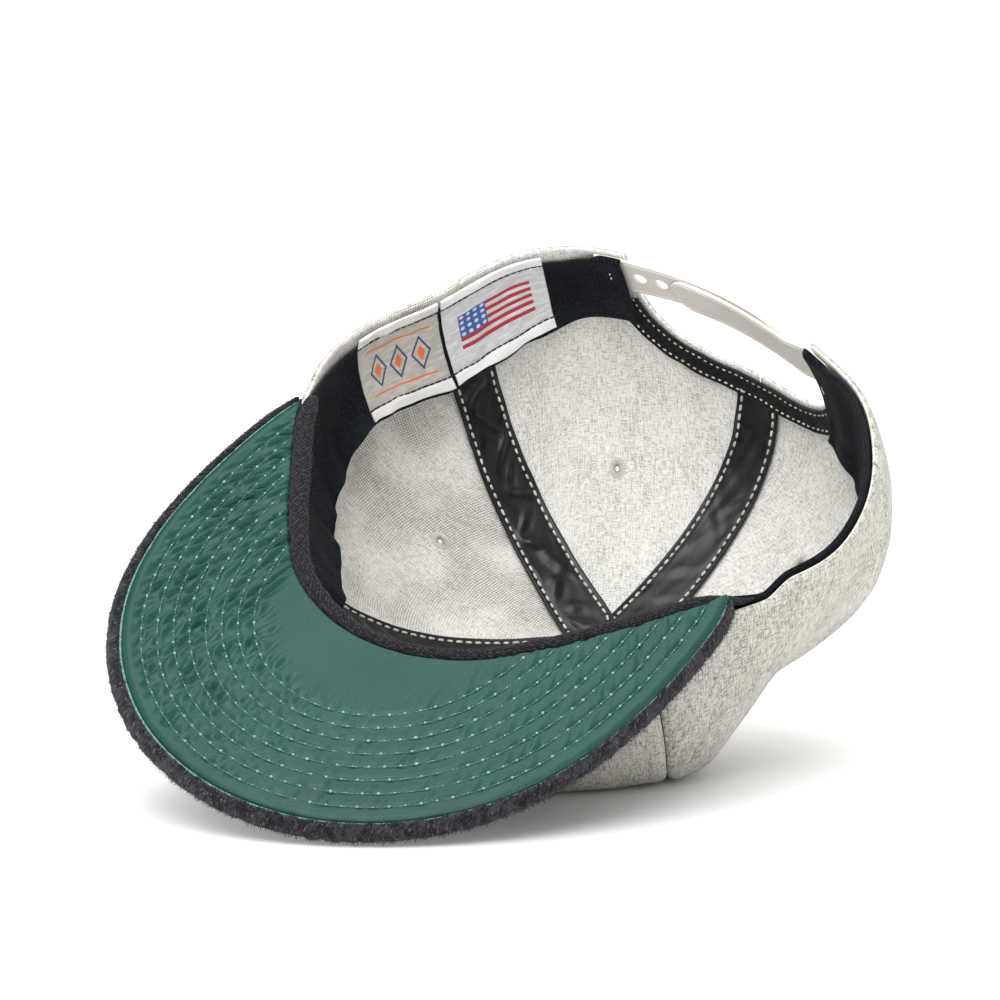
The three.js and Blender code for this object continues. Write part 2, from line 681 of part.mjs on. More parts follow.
// Joint roll: the sweatband's rolled hem, which hides the joint between brim and crown.
const rollInset = BRIM_TUCK + 2 * GAP + ROLL_RADIUS;
const rollHeight = BRIM_THICKNESS - ROLL_RADIUS;
const rollPath = [];
for (let column = 1; column < BRIM_COLUMNS; column += 1) {
  rollPath.push(insideRim(brimBearing(column), rollInset, rollHeight));
}
const rollSection = new THREE.Shape().absarc(0, 0, ROLL_RADIUS, 0, 2 * Math.PI);
const roll = new THREE.ExtrudeGeometry(rollSection, {
  steps: BRIM_COLUMNS - 2,
  curveSegments: 4,
  extrudePath: new THREE.CatmullRomCurve3(rollPath),
});
addPiece('joint_roll', toGeometry(toSolid(roll)), navyTwill);

// Lay the cap down: the frame's origin is on the flattened wool of the crown, Z points up from
// it, and the brim points to -Y.
const REST_SPOT = { bearing: 21, rise: 0.55 };
const up = down.clone().negate();
const rearward = new THREE.Vector3(0, -1, 0).addScaledVector(down, down.y).normalize();
const sideways = rearward.clone().cross(up);
const toRow = new THREE.Matrix4().makeBasis(sideways, rearward, up).transpose();
const lying = new THREE.Group();
lying.quaternion.setFromRotationMatrix(toRow);
lying.position.copy(skin(REST_SPOT.bearing, REST_SPOT.rise).applyMatrix4(toRow).negate());
lying.add(worn);

const cap = new THREE.Group();
cap.add(lying);
export default cap;
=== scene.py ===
import math

import bmesh
import bpy
import numpy as np
from mathutils import Matrix, Vector


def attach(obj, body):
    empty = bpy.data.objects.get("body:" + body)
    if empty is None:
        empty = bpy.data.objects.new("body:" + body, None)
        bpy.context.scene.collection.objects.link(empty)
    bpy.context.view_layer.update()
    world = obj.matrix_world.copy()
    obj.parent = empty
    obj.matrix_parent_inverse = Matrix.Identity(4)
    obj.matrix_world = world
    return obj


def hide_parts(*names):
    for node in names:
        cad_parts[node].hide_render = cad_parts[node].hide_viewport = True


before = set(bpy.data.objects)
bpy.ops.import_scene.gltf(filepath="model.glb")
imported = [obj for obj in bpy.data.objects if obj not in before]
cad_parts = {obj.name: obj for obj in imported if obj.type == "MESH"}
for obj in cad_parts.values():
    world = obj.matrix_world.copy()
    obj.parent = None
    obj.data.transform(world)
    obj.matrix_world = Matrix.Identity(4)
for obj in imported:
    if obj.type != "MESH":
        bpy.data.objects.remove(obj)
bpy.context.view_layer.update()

# Camera: a pinhole fitted to the photograph, in the frame's own metres, a little above the table.
camera_data = bpy.data.cameras.new("camera")
camera_data.sensor_width = 36
camera_data.lens = 87.915
camera = bpy.data.objects.new("camera", camera_data)
image_right = Vector((0.72785, 0.68574, 0.00065))
image_down = Vector((0.05967, -0.06240, -0.99627))
ahead = Vector((-0.68314, 0.72517, -0.08634))
turned = Matrix((image_right, -image_down, -ahead)).transposed().to_4x4()
camera.matrix_world = Matrix.Translation((0.496912, -0.542039, 0.149172)) @ turned
bpy.context.scene.collection.objects.link(camera)
bpy.context.scene.camera = camera
bpy.context.scene.view_settings.view_transform = "Standard"

# Crown: six panels of heather wool flannel, sewn edge to edge and topstitched beside each seam.
# The soft crown has slumped, and has gone flat where it rests on the table beside the brim's edge.
RIM_RADIUS = 94.5
CROWN_DEPTH = 94
WALL = 1.8
GAP = 0.3
TOP_SHIFT = (14.7, -2.7)
WAIST_SHIFT = (4.4, 7.8)
TOP_HOLE_RISE = 0.975
WALL_LENGTH = 128
HEM_LIFT = 0.3
ARCH_HALF = 39.5
ARCH_HEIGHT = 41.5
ARCH_POWER = 3
TOPSTITCH = 6.9
BRIM_LENGTH = 70
BRIM_HALF_WIDTH = 86.2
BRIM_SIDE_SHIFT = 1.4
BRIM_CORNER = 70.4
BRIM_CLEAR = 6.5
BRIM_THICKNESS = 4
LYING_TILT = 38.8
LYING_BEARING = 32.5
SETTLE = 6
REST_SPOT = (21, 0.55)
SEAMS = {
    "front": 0,
    "front_right": 52,
    "rear_right": 117,
    "back": 177,
    "rear_left": 237.6,
    "front_left": 308,
}
BACK = SEAMS["back"]
RIM = {
    "bearing": [0, 17, 33, 49, 68, 80, 92, 104, 121, 136, 150, 165, 180, 195, 210, 222, 244, 266,
                278, 292, 311, 327, 343],
    "reach": [1.069, 1.031, 0.942, 0.889, 0.902, 0.968, 1.036, 1.052, 1.048, 1.043, 1.003, 0.982,
              0.99, 1.012, 1.048, 1.03, 0.905, 0.927, 0.921, 0.902, 0.889, 0.942, 1.031],
}
BELLY = {
    "bearing": [0, 30, 60, 90, 120, 150, 180, 210, 240, 270, 300, 330],
    "swell": [0.155, 0.2, 0.18, -0.09, 0.09, 0.24, 0.3, 0.25, 0.21, 0.235, 0.26, 0.18],
}
DENTS = {
    "bearing": [84, 128, 100, 228, 284, 338],
    "rise": [0.62, 0.3, 0.3, 0.32, 0.5, 0.42],
    "spread": [16, 14, 12, 12, 15, 10],
    "tall": [0.1, 0.16, 0.14, 0.2, 0.15, 0.16],
    "depth": [0.022, -0.012, 0.014, 0.012, 0.014, 0.014],
}
BRIM_EDGE = {
    "side": [0, 0.33, 0.615, 0.82, 0.937, 0.987, 1, 0.99, 0.968],
    "forward": [1, 0.964, 0.861, 0.713, 0.543, 0.376, 0.2155, 0.08, 0.022],
}


def around(table, column, bearing):
    """Smooth closed interpolation of one column of a table by bearing."""
    at = np.array(table["bearing"], float)
    value = np.array(table[column], float)
    at = np.concatenate([at[-2:] - 360, at, at[:3] + 360])
    value = np.concatenate([value[-2:], value, value[:3]])
    slope = (value[2:] - value[:-2]) / (at[2:] - at[:-2])
    turn = np.asarray(bearing, float) % 360
    k = np.searchsorted(at, turn, side="right") - 1
    span = at[k + 1] - at[k]
    t = (turn - at[k]) / span
    held = (2 * t**3 - 3 * t**2 + 1) * value[k] + (3 * t**2 - 2 * t**3) * value[k + 1]
    return held + (t**3 - 2 * t**2 + t) * span * slope[k - 1] + (t**3 - t**2) * span * slope[k]


def smoothstep(x, low, high):
    """0 below low, 1 above high and smooth between."""
    t = np.clip((np.asarray(x, float) - low) / (high - low), 0, 1)
    return t * t * (3 - 2 * t)


def away_from(bearing, other):
    """Signed turn between two bearings, within half a turn."""
    return (np.asarray(bearing, float) - other + 540) % 360 - 180


def unit(vectors):
    """Vectors of length one."""
    return vectors / np.maximum(np.linalg.norm(vectors, axis=-1, keepdims=True), 1e-9)


def ripple(u, v, seed, waves, cycles):
    """A smooth random field over two coordinates, about one unit high, from a few sine waves."""
    random = np.random.default_rng(seed)
    total = 0
    for _ in range(waves):
        aim = random.uniform(0, 2 * math.pi)
        rate = 2 * math.pi * cycles * random.uniform(0.6, 1.5)
        phase = random.uniform(0, 2 * math.pi)
        total = total + np.sin(rate * (math.cos(aim) * u + math.sin(aim) * v) + phase)
    return total / math.sqrt(waves)


def free_skin(bearing, rise, soft):
    """The crown's outer surface before it settles, with small folds where soft is 1."""
    bearing, rise = np.broadcast_arrays(np.asarray(bearing, float), np.asarray(rise, float))
    angle = np.radians(bearing)
    waist = np.sin(rise * math.pi)
    height = np.sin(rise * math.pi / 2)
    swell = around(BELLY, "swell", bearing)
    reach = RIM_RADIUS * around(RIM, "reach", bearing) * (np.cos(rise * math.pi / 2) + swell * waist)
    for at, level, spread, tall, depth in zip(*DENTS.values()):
        fade = np.exp(-((away_from(bearing, at) / spread) ** 2) - ((rise - level) / tall) ** 2)
        reach = reach - depth * CROWN_DEPTH * fade
    u = 60 * np.cos(angle)
    v = 60 * np.sin(angle) + 90 * rise
    folds = 0.5 * ripple(u, v, 3, 7, 1 / 34) + 0.22 * ripple(u, v, 5, 8, 1 / 13)
    reach = reach + soft * waist * smoothstep(rise, 0.02, 0.3) * folds
    return np.stack([
        reach * np.sin(angle) + TOP_SHIFT[0] * height + WAIST_SHIFT[0] * waist,
        reach * np.cos(angle) + TOP_SHIFT[1] * height + WAIST_SHIFT[1] * waist,
        CROWN_DEPTH * height,
    ], -1)


def brim_outline(count):
    """Even points along the brim's outer edge, from the wearer's left to the right: a centripetal
    Catmull-Rom curve through the table's points."""
    front = RIM_RADIUS * RIM["reach"][0] + BRIM_LENGTH
    corner = math.radians(BRIM_CORNER)
    corner = RIM_RADIUS * around(RIM, "reach", BRIM_CORNER) * math.cos(corner)
    side = np.array(BRIM_EDGE["side"]) * BRIM_HALF_WIDTH
    forward = corner + (front - corner) * np.array(BRIM_EDGE["forward"])
    points = np.stack([
        np.concatenate([-side[:0:-1], side]) + BRIM_SIDE_SHIFT,
        np.concatenate([forward[:0:-1], forward]),
    ], -1)
    points = np.concatenate([[2 * points[0] - points[1]], points, [2 * points[-1] - points[-2]]])
    fine = []
    t = np.linspace(0, 1, 40, endpoint=False)[:, None]
    for k in range(1, len(points) - 2):
        a, b, c, d = points[k - 1:k + 3]
        ab, bc, cd = (math.sqrt(math.dist(*pair)) for pair in ((a, b), (b, c), (c, d)))
        start = ((b - a) / ab - (c - a) / (ab + bc) + (c - b) / bc) * bc
        end = ((c - b) / bc - (d - b) / (bc + cd) + (d - c) / cd) * bc
        fine.append((2 * t**3 - 3 * t**2 + 1) * b + (t**3 - 2 * t**2 + t) * start
                    + (3 * t**2 - 2 * t**3) * c + (t**3 - t**2) * end)
    fine = np.concatenate([*fine, points[-2:-1]])
    walked = np.concatenate([[0], np.cumsum(np.linalg.norm(np.diff(fine, axis=0), axis=1))])
    even = np.linspace(0, walked[-1], count)
    return np.stack([np.interp(even, walked, fine[:, 0]), np.interp(even, walked, fine[:, 1])], -1)


tilt = math.radians(LYING_TILT)
aim = math.radians(LYING_BEARING)
down = np.array([math.sin(tilt) * math.sin(aim), math.sin(tilt) * math.cos(aim), math.cos(tilt)])
rest_depth = np.max(brim_outline(400) @ down[:2]) + BRIM_THICKNESS * down[2]


def skin(bearing, rise, soft=1):
    """The crown's outer surface, flattened where it lies."""
    point = free_skin(bearing, rise, soft)
    over = point @ down - rest_depth
    settled = np.where(over >= SETTLE, 0, -((over - SETTLE) ** 2) / (4 * SETTLE))
    return point + np.where(over <= -SETTLE, 0, settled - over)[..., None] * down


def crown(bearing, rise, inset):
    """A point a given distance inside the crown's outer surface."""
    bearing = np.asarray(bearing, float)
    rise = np.asarray(rise, float)
    upward = skin(bearing, rise + 0.006) - skin(bearing, rise - 0.006)
    onward = skin(bearing + 0.5, rise) - skin(bearing - 0.5, rise)
    normal = unit(np.cross(upward, onward))
    return skin(bearing, rise) - normal * np.asarray(inset, float)[..., None]


def pace(bearing, rise):
    """Millimetres along the wall for each degree of bearing."""
    bearing = np.asarray(bearing, float)
    return np.linalg.norm(skin(bearing + 0.5, rise, 0) - skin(bearing - 0.5, rise, 0), axis=-1)


rise_steps = np.linspace(0, 1, 61)
wall_grid = free_skin(np.arange(0, 361, 1.5)[:, None], rise_steps[None], 0)
wall_steps = np.linalg.norm(np.diff(wall_grid, axis=1), axis=2)
wall_walked = np.concatenate([np.zeros((len(wall_grid), 1)), np.cumsum(wall_steps, axis=1)], 1)


def rise_along(bearing, distance):
    """Rise that lies a distance up the wall from the rim."""
    bearing, distance = np.broadcast_arrays(np.asarray(bearing, float), np.asarray(distance, float))
    at = (bearing % 360) / 1.5
    low = np.floor(at).astype(int)
    found = np.empty(bearing.size)
    for k, (i, share, far) in enumerate(zip(low.ravel(), (at - low).ravel(), distance.ravel())):
        found[k] = np.interp(far, wall_walked[i] * (1 - share) + wall_walked[i + 1] * share, rise_steps)
    return found.reshape(bearing.shape)


def rise_at_height(height):
    """Rise of the points at a height above the rim plane."""
    return np.arcsin(np.clip(np.asarray(height, float) / CROWN_DEPTH, -1, 1)) * 2 / math.pi


rearward = unit(np.array([0, -1, 0]) + down * down[1])
to_frame = np.stack([np.cross(rearward, -down), rearward, -down])
rest_origin = skin(*REST_SPOT, 0)


def laid(points):
    """Points of the worn cap in millimetres, laid in the frame in metres."""
    return (np.asarray(points) - rest_origin) @ to_frame.T / 1000


class Value:
    """A shader socket that takes part in arithmetic."""

    def __init__(self, tree, socket):
        self.tree = tree
        self.socket = socket

    def node(self, kind, inputs, out=0, **settings):
        made = self.tree.nodes.new(kind)
        for key, setting in settings.items():
            setattr(made, key, setting)
        for key, item in inputs.items():
            if isinstance(item, Value):
                self.tree.links.new(item.socket, made.inputs[key])
            else:
                made.inputs[key].default_value = item
        return Value(self.tree, made.outputs[out])

    def maths(self, operation, first, second=0.0):
        return self.node("ShaderNodeMath", {0: first, 1: second}, operation=operation)

    def __add__(self, other):
        return self.maths("ADD", self, other)

    def __radd__(self, other):
        return self.maths("ADD", other, self)

    def __sub__(self, other):
        return self.maths("SUBTRACT", self, other)

    def __rsub__(self, other):
        return self.maths("SUBTRACT", other, self)

    def __mul__(self, other):
        return self.maths("MULTIPLY", self, other)

    def __rmul__(self, other):
        return self.maths("MULTIPLY", other, self)

    def __truediv__(self, other):
        return self.maths("DIVIDE", self, other)

    def __rtruediv__(self, other):
        return self.maths("DIVIDE", other, self)

    def part(self, axis):
        return self.node("ShaderNodeSeparateXYZ", {0: self}, out=axis)

    def noise(self, across, along, detail=1.0):
        """Noise with its own number of cells to a metre each way."""
        stretched = self.node("ShaderNodeVectorMath", {0: self, 1: (across, along, 1)}, operation="MULTIPLY")
        return stretched.node("ShaderNodeTexNoise", {
            "Vector": stretched, "Scale": 1.0, "Detail": detail, "Roughness": 0.6,
        }, noise_dimensions="2D")

    def between(self, low, high, start=0.0, end=1.0):
        return self.node("ShaderNodeMapRange", {
            "Value": self, "From Min": low, "From Max": high, "To Min": start, "To Max": end,
        }, interpolation_type="SMOOTHSTEP")

    def blend(self, first, second):
        return self.node("ShaderNodeMix", {0: self, 6: first, 7: second}, out=2, data_type="RGBA")

    def wave(self, cycles, turn=0.0):
        """Ribs from -1 to 1, with a number to a metre, across a turned direction."""
        phase = self.part(0) * (cycles * math.cos(turn)) + self.part(1) * (cycles * math.sin(turn))
        return self.maths("SINE", phase * (2 * math.pi))


def rgb(red, green, blue):
    """Linear colour of an sRGB one in 0 to 255."""
    shares = (red / 255, green / 255, blue / 255)
    return (*(c / 12.92 if c <= 0.04045 else ((c + 0.055) / 1.055) ** 2.4 for c in shares), 1.0)


def finish(name, draw, **constants):
    """A material: draw(cloth coordinates in metres) gives colour, roughness and height in metres."""
    material = bpy.data.materials.new(name)
    material.use_nodes = True
    tree = material.node_tree
    shader = tree.nodes["Principled BSDF"]
    source = tree.nodes.new("ShaderNodeUVMap")
    source.uv_map = "cloth"
    cloth = Value(tree, source.outputs[0])
    colour, rough, height = draw(cloth)
    tree.links.new(colour.socket, shader.inputs["Base Color"])
    tree.links.new(rough.socket, shader.inputs["Roughness"])
    bump = cloth.node("ShaderNodeBump", {"Height": height, "Distance": 1.0, "Strength": 1.0})
    tree.links.new(bump.socket, shader.inputs["Normal"])
    for key, constant in constants.items():
        shader.inputs[key.replace("_", " ")].default_value = constant
    return material


def add_mesh(name, points, faces, materials, uv=None, sides=None):
    """A smooth mesh object in the scene, from points in metres."""
    mesh = bpy.data.meshes.new(name)
    mesh.from_pydata(points.tolist(), [], faces.tolist() if isinstance(faces, np.ndarray) else faces)
    mesh.shade_smooth()
    for material in materials:
        mesh.materials.append(material)
    if sides is not None:
        mesh.polygons.foreach_set("material_index", sides.astype(np.int32))
    if uv is not None:
        corner = np.empty(len(mesh.loops), np.int32)
        mesh.loops.foreach_get("vertex_index", corner)
        layer = mesh.uv_layers.new(name="cloth")
        layer.data.foreach_set("uv", uv[corner].astype(np.float32).ravel())
    made = bpy.data.objects.new(name, mesh)
    bpy.context.scene.collection.objects.link(made)
    return made


def quads(grid):
    """Faces of a grid of point numbers."""
    return np.stack([grid[:-1, :-1], grid[:-1, 1:], grid[1:, 1:], grid[1:, :-1]], -1).reshape(-1, 4)


def outward(points, faces):
    """The faces, turned if they enclose their volume inside out."""
    a, b, c, d = (points[faces[:, k]] for k in range(4))
    return faces if np.sum(a * np.cross(b, c)) + np.sum(a * np.cross(c, d)) > 0 else faces[:, ::-1]


def two_sided(name, front, back, uv, materials):
    """A closed sheet from two matched grids of worn points, which meet along their borders."""
    rows, columns = front.shape[:2]
    outer = np.arange(rows * columns).reshape(rows, columns)
    inner = outer.copy()
    inner[1:-1, 1:-1] = rows * columns + np.arange((rows - 2) * (columns - 2)).reshape(rows - 2, columns - 2)
    front = front.copy()
    for border in (np.s_[0], np.s_[-1], np.s_[:, 0], np.s_[:, -1]):
        front[border] = (front[border] + back[border]) / 2
    points = laid(np.concatenate([front.reshape(-1, 3), back[1:-1, 1:-1].reshape(-1, 3)]))
    cloth = np.concatenate([uv.reshape(-1, 2), uv[1:-1, 1:-1].reshape(-1, 2)]) / 1000
    faces = outward(points, np.concatenate([quads(outer), quads(inner)[:, ::-1]]))
    sides = np.repeat([0, len(materials) - 1], len(faces) // 2)
    return add_mesh(name, points, faces, materials, cloth, sides)


def crowded(length, step, rim=(0.12, 0.35, 0.8, 1.5)):
    """Positions along a length, close together near both ends, where an edge is rounded."""
    rim = [r for r in rim if r < length / 3]
    middle = np.linspace(rim[-1], length - rim[-1], max(3, round((length - 2 * rim[-1]) / step) + 1))
    return np.concatenate([[0], rim[:-1], middle, length - np.array(rim[-2::-1]), [length]])


def rounded(distance, radius):
    """Share of full thickness at a distance from a rounded edge."""
    return np.sqrt(1 - (1 - np.clip(np.asarray(distance, float) / radius, 0, 1)) ** 2)


def bump_at(distance, place, width):
    """A smooth ridge, one high, at a distance from an edge."""
    return np.exp(-(((distance - place) / width) ** 2))


def dress(piece, slot, *nodes):
    """Ties a finished piece to the frame and hides the solids that it stands for. Its slot is not used."""
    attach(piece, "root")
    if nodes:
        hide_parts(*nodes)


def heather(cloth, light, mid, dark, amount):
    """Wool of pale and dark fibres: slubs along both threads, specks and cloudy patches."""
    weft = cloth.noise(360, 2300)
    warp = cloth.noise(2300, 300)
    specks = cloth.noise(1500, 1500)
    cloud = cloth.noise(75, 60, 2.0)
    slub = cloth.noise(1200, 75)
    shift = (cloud - 0.5) * 0.16
    base = (cloud * 0.2 + warp * 0.7 + weft * 0.7).between(0.62, 1.0).blend(light, mid)
    threads = 1.0 - (1.0 - (weft + shift).between(0.55, 0.78)) * (1.0 - (warp + shift).between(0.55, 0.78))
    marks = threads * 0.42 + (specks + shift).between(0.56, 0.76) * 0.5
    marks = marks + (slub + shift).between(0.6, 0.8) * 0.3
    height = (weft + warp) * 0.00014 + specks * 0.00012
    return (marks * amount).blend(base, dark), height


# The panels are one wool on both faces. Their inside colours are painted lighter than the outside ones:
# painted light inside the crown's hollow, painted shade on its outside.
def outside_wool(cloth):
    colour, height = heather(cloth, rgb(207, 205, 196), rgb(170, 168, 159), rgb(72, 71, 66), 0.95)
    return colour, height * 200 + 0.85, height


def inside_wool_painted_lighter(cloth):
    # Painted light: the outside wool's colours, made lighter.
    colour, height = heather(cloth, rgb(246, 245, 240), rgb(226, 224, 218), rgb(116, 115, 111), 0.82)
    return colour, height * 200 + 0.85, height


def backed_wool_painted_lighter(cloth):
    """The same where dark gaps show between its threads as a fine grid."""
    # Painted light: lighter still than the plain inside wool.
    colour, height = heather(cloth, rgb(253, 251, 244), rgb(238, 235, 227), rgb(112, 108, 101), 0.6)
    lines = cloth.maths("MAXIMUM", cloth.wave(1060), cloth.wave(1060, math.pi / 2))
    patch = cloth.noise(40, 40).between(0.36, 0.62, 0.25, 0.85)
    net = lines.between(0.7, 0.98) * patch
    return net.blend(colour, rgb(88, 83, 75)), height * 200 + 0.85, height - net * 0.00015


wool_gloss = {"Sheen_Roughness": 0.6, "Specular_IOR_Level": 0.1}
wool_out = finish("grey_wool", outside_wool, Sheen_Weight=0.08, **wool_gloss)
wool_in = finish("grey_wool_inside_painted_light", inside_wool_painted_lighter, Sheen_Weight=0.06, **wool_gloss)
wool_net = finish("grey_wool_net_painted_light", backed_wool_painted_lighter, Sheen_Weight=0.05, **wool_gloss)


def arch_edge(distance):
    """Height of the arch's cut edge up the wall."""
    share = np.clip(np.abs(distance) / ARCH_HALF, 0, 1)
    return ARCH_HEIGHT * (1 - share**ARCH_POWER) ** (1 / ARCH_POWER)


def panel_foot(bearing):
    """Rise where a panel starts: above the brim's cover, at the arch or at the rim."""
    over = rise_at_height(BRIM_THICKNESS + HEM_LIFT)
    turn = np.abs(away_from(bearing, 0))
    lift = over * (1 - smoothstep(turn, BRIM_CORNER + BRIM_CLEAR, BRIM_CORNER + 2 * BRIM_CLEAR))
    edge = arch_edge(np.radians(away_from(BACK, bearing)) * RIM_RADIUS)
    return np.where(edge > 0.01, rise_along(bearing, edge), lift)


def cloth_uv(bearing, rise, middle):
    """Cloth coordinates in millimetres: across from a panel's middle line, and up the wall."""
    levels = np.linspace(0, 1, 120)
    steps = np.linalg.norm(np.diff(free_skin(middle, levels, 0), axis=0), axis=1)
    walked = np.concatenate([[0], np.cumsum(steps)])
    across = away_from(bearing, middle) * np.interp(rise, levels, pace(np.full(120, middle), levels))
    return np.stack([across, np.interp(rise, levels, walked)], -1)


def turned_form(name, profile, place, materials, count=48):
    """A turned form: place(x, y, along) lays a profile of radius and height; both ends are poles."""
    turn = np.linspace(0, 2 * math.pi, count, endpoint=False)
    rings = [place(r * np.cos(turn), r * np.sin(turn), np.full(count, h)) for r, h in profile[1:-1]]
    ends = [place(np.zeros(1), np.zeros(1), np.full(1, profile[k][1])) for k in (0, -1)]
    points = laid(np.concatenate([*rings, *ends]))
    grid = np.arange(len(rings) * count).reshape(len(rings), count)
    faces = quads(np.concatenate([grid, grid[:, :1]], 1)).tolist()
    first, last = len(points) - 2, len(points) - 1
    faces += [(first, int(grid[0, (j + 1) % count]), int(grid[0, j])) for j in range(count)]
    faces += [(last, int(grid[-1, j]), int(grid[-1, (j + 1) % count])) for j in range(count)]
    made = add_mesh(name, points, faces, materials, points[:, :2])
    form = bmesh.new()
    form.from_mesh(made.data)
    bmesh.ops.recalc_face_normals(form, faces=form.faces)
    form.to_mesh(made.data)
    form.free()
    return made


def panel_place(bearing, rise):
    """Lays a turned form on the wall, its length running into the crown."""
    def place(x, y, along):
        return crown(bearing + x / float(pace(bearing, rise)), rise + y / WALL_LENGTH, along)
    return place


HEM_TURN = 6
EYELET_RISE = 0.6
EYELET_HOLE = 1.7
EYELET_STITCHES = 24
EYELET_BEARINGS = {
    "front_right": 26,
    "side_right": 84.5,
    "rear_right": 148.5,
    "rear_left": 208.3,
    "side_left": 263.5,
    "front_left": 334,
}
seam_bearings = [*SEAMS.values(), 360]
panel_names = ["front_right", "side_right", "rear_right", "rear_left", "side_left", "front_left"]
for name, start, end in zip(panel_names, seam_bearings[:-1], seam_bearings[1:]):
    middle = (start + end) / 2
    width = (end - start) * float(pace(middle, 0.3))
    share = crowded(width, 1.25) / width
    if BACK in (start, end):
        arch = math.degrees(ARCH_HALF / RIM_RADIUS) / (end - start)
        bend = arch * np.sin(np.linspace(0, math.pi / 2, 40))
        share = np.concatenate([bend, arch + crowded((1 - arch) * width, 1.25)[1:] / width])
        share = 1 - share[::-1] if end == BACK else share
    bearing = start + (end - start) * share
    foot = panel_foot(bearing)
    rise = foot + (TOP_HOLE_RISE - foot) * (crowded(WALL_LENGTH, 1.25) / WALL_LENGTH)[:, None]
    bearing = np.broadcast_to(bearing, rise.shape)
    local = pace(bearing, rise)
    side = np.minimum(bearing - start, end - bearing) * local
    hem = (rise - foot) * WALL_LENGTH
    bearing = np.clip(bearing, start + GAP / 2 / local, end - GAP / 2 / local)
    full = WALL / 2 * rounded(np.minimum(side, hem), 1.1)
    pucker = 0.8 + 0.3 * ripple(hem, side, 11, 5, 1 / 4)
    pull = 0.4 * bump_at(side, TOPSTITCH, 0.6) * pucker
    turned_in = 0.9 * bump_at(side, 0, 1.1) - 0.25 * bump_at(side, 3.4, 2)
    fold = 0.45 * (1 - smoothstep(hem, HEM_TURN, HEM_TURN + 1.5))
    outer = crown(bearing, rise, WALL / 2 - full * (1 + 0.6 * fold) + pull + turned_in)
    inner = crown(bearing, rise, WALL / 2 + full)
    lining = wool_net if name in ("side_left", "front_left") else wool_in
    uv = cloth_uv(bearing, rise, middle)
    panel = two_sided(f"{name}_panel_cloth", outer, inner, uv, [wool_out, lining])
    punch = [(0, -4), (EYELET_HOLE, -4), (EYELET_HOLE, 5), (0, 5)]
    place = panel_place(EYELET_BEARINGS[name], EYELET_RISE)
    cutter = turned_form("cutter", punch, place, [wool_out], 16)
    cut = panel.modifiers.new("eyelet_hole", "BOOLEAN")
    cut.operation = "DIFFERENCE"
    cut.solver = "MANIFOLD"
    cut.object = cutter
    evaluated = panel.evaluated_get(bpy.context.evaluated_depsgraph_get())
    cut_mesh = bpy.data.meshes.new_from_object(evaluated)
    panel.modifiers.clear()
    panel.data = cut_mesh
    bpy.data.objects.remove(cutter)
    dress(panel, "grey_wool", f"{name}_panel")


# Seam tapes: black satin, sewn over each seam inside by two rows of pale stitches, with its edges
# rolled and its face creased. They start behind the sweatband, and cross at the crown's top.
SEAM_TAPE = 17.6
TAPE_THICKNESS = 0.7
TAPE_CLEARANCE = 0.95
TAPE_FOOT = 27
ARCH_TAPE = 8.5
ROW_INSET = 1.9


def satin_tape_painted_sheen(cloth):
    pale_speckle = cloth.noise(700, 700, 2.0)
    broad_patches = cloth.noise(70, 45)
    # The paler brownish speckles and patches are painted sheen on the black satin.
    colour = (pale_speckle * 0.5 + broad_patches * 0.7).between(0.5, 0.85).blend(rgb(8, 8, 8), rgb(30, 27, 25))
    return colour, broad_patches * 0.2 + 0.22, pale_speckle * 0.00004


def twill_tape(cloth):
    ribs = cloth.wave(1500, 0.8)
    pale_speckle = cloth.noise(700, 700, 2.0)
    colour = (pale_speckle + ribs * 0.15).between(0.35, 0.8).blend(rgb(12, 12, 12), rgb(38, 37, 36))
    return colour, pale_speckle * 0.2 + 0.55, ribs * 0.00003 + pale_speckle * 0.00005


tape_satin = finish("black_satin_tape", satin_tape_painted_sheen, Specular_IOR_Level=0.38, Sheen_Weight=0.05)
tape_twill = finish("black_twill_tape", twill_tape, Specular_IOR_Level=0.15, Sheen_Weight=0.08)


def creases(across, run, seed, spacing):
    """Diagonal creases at random places along a tape, each a ridge with a hollow beside it."""
    random = np.random.default_rng(seed)
    total = np.zeros(np.broadcast(across, run).shape)
    for place in np.arange(np.min(run), np.max(run), spacing):
        place = place + random.uniform(0, spacing)
        side = random.uniform(-3, 3)
        lean = random.choice([-1, 1]) * random.uniform(0.45, 1.15)
        high = random.uniform(0.25, 0.8)
        wide = random.uniform(0.9, 1.7)
        reach = random.uniform(4, 8)
        u = (run - place) * math.cos(lean) + (across - side) * math.sin(lean)
        v = (across - side) * math.cos(lean) - (run - place) * math.sin(lean)
        ridge = np.exp(-((u / wide) ** 2)) - 0.6 * np.exp(-(((u - 2.1 * wide) / wide) ** 2))
        total = total + high * ridge * np.exp(-((v / reach) ** 2))
    return total


def thread_look(light, dark):
    def draw(cloth):
        place = cloth.node("ShaderNodeTexCoord", {}, out="Object")
        fluff = place.noise(1500, 1500)
        return fluff.between(0.3, 0.7).blend(dark, light), fluff * 0.2 + 0.6, fluff * 0.00005
    return draw


def unit_stitch():
    """A stitch one long in Z and one thick, with rounded closed ends."""
    turn = np.linspace(0, 2 * math.pi, 6, endpoint=False)
    levels = ((-0.42, 0.3), (-0.28, 0.5), (0.28, 0.5), (0.42, 0.3))
    points = [(r * math.cos(a), r * math.sin(a), z) for z, r in levels for a in turn]
    points += [(0, 0, -0.5), (0, 0, 0.5)]
    faces = []
    for j in range(6):
        n = (j + 1) % 6
        faces += [(6 * k + j, 6 * k + n, 6 * k + 6 + n, 6 * k + 6 + j) for k in range(3)]
        faces += [(24, n, j), (25, 18 + j, 18 + n)]
    mesh = bpy.data.meshes.new("unit_stitch")
    mesh.from_pydata(points, [], faces)
    mesh.shade_smooth()
    return bpy.data.objects.new("unit_stitch", mesh)


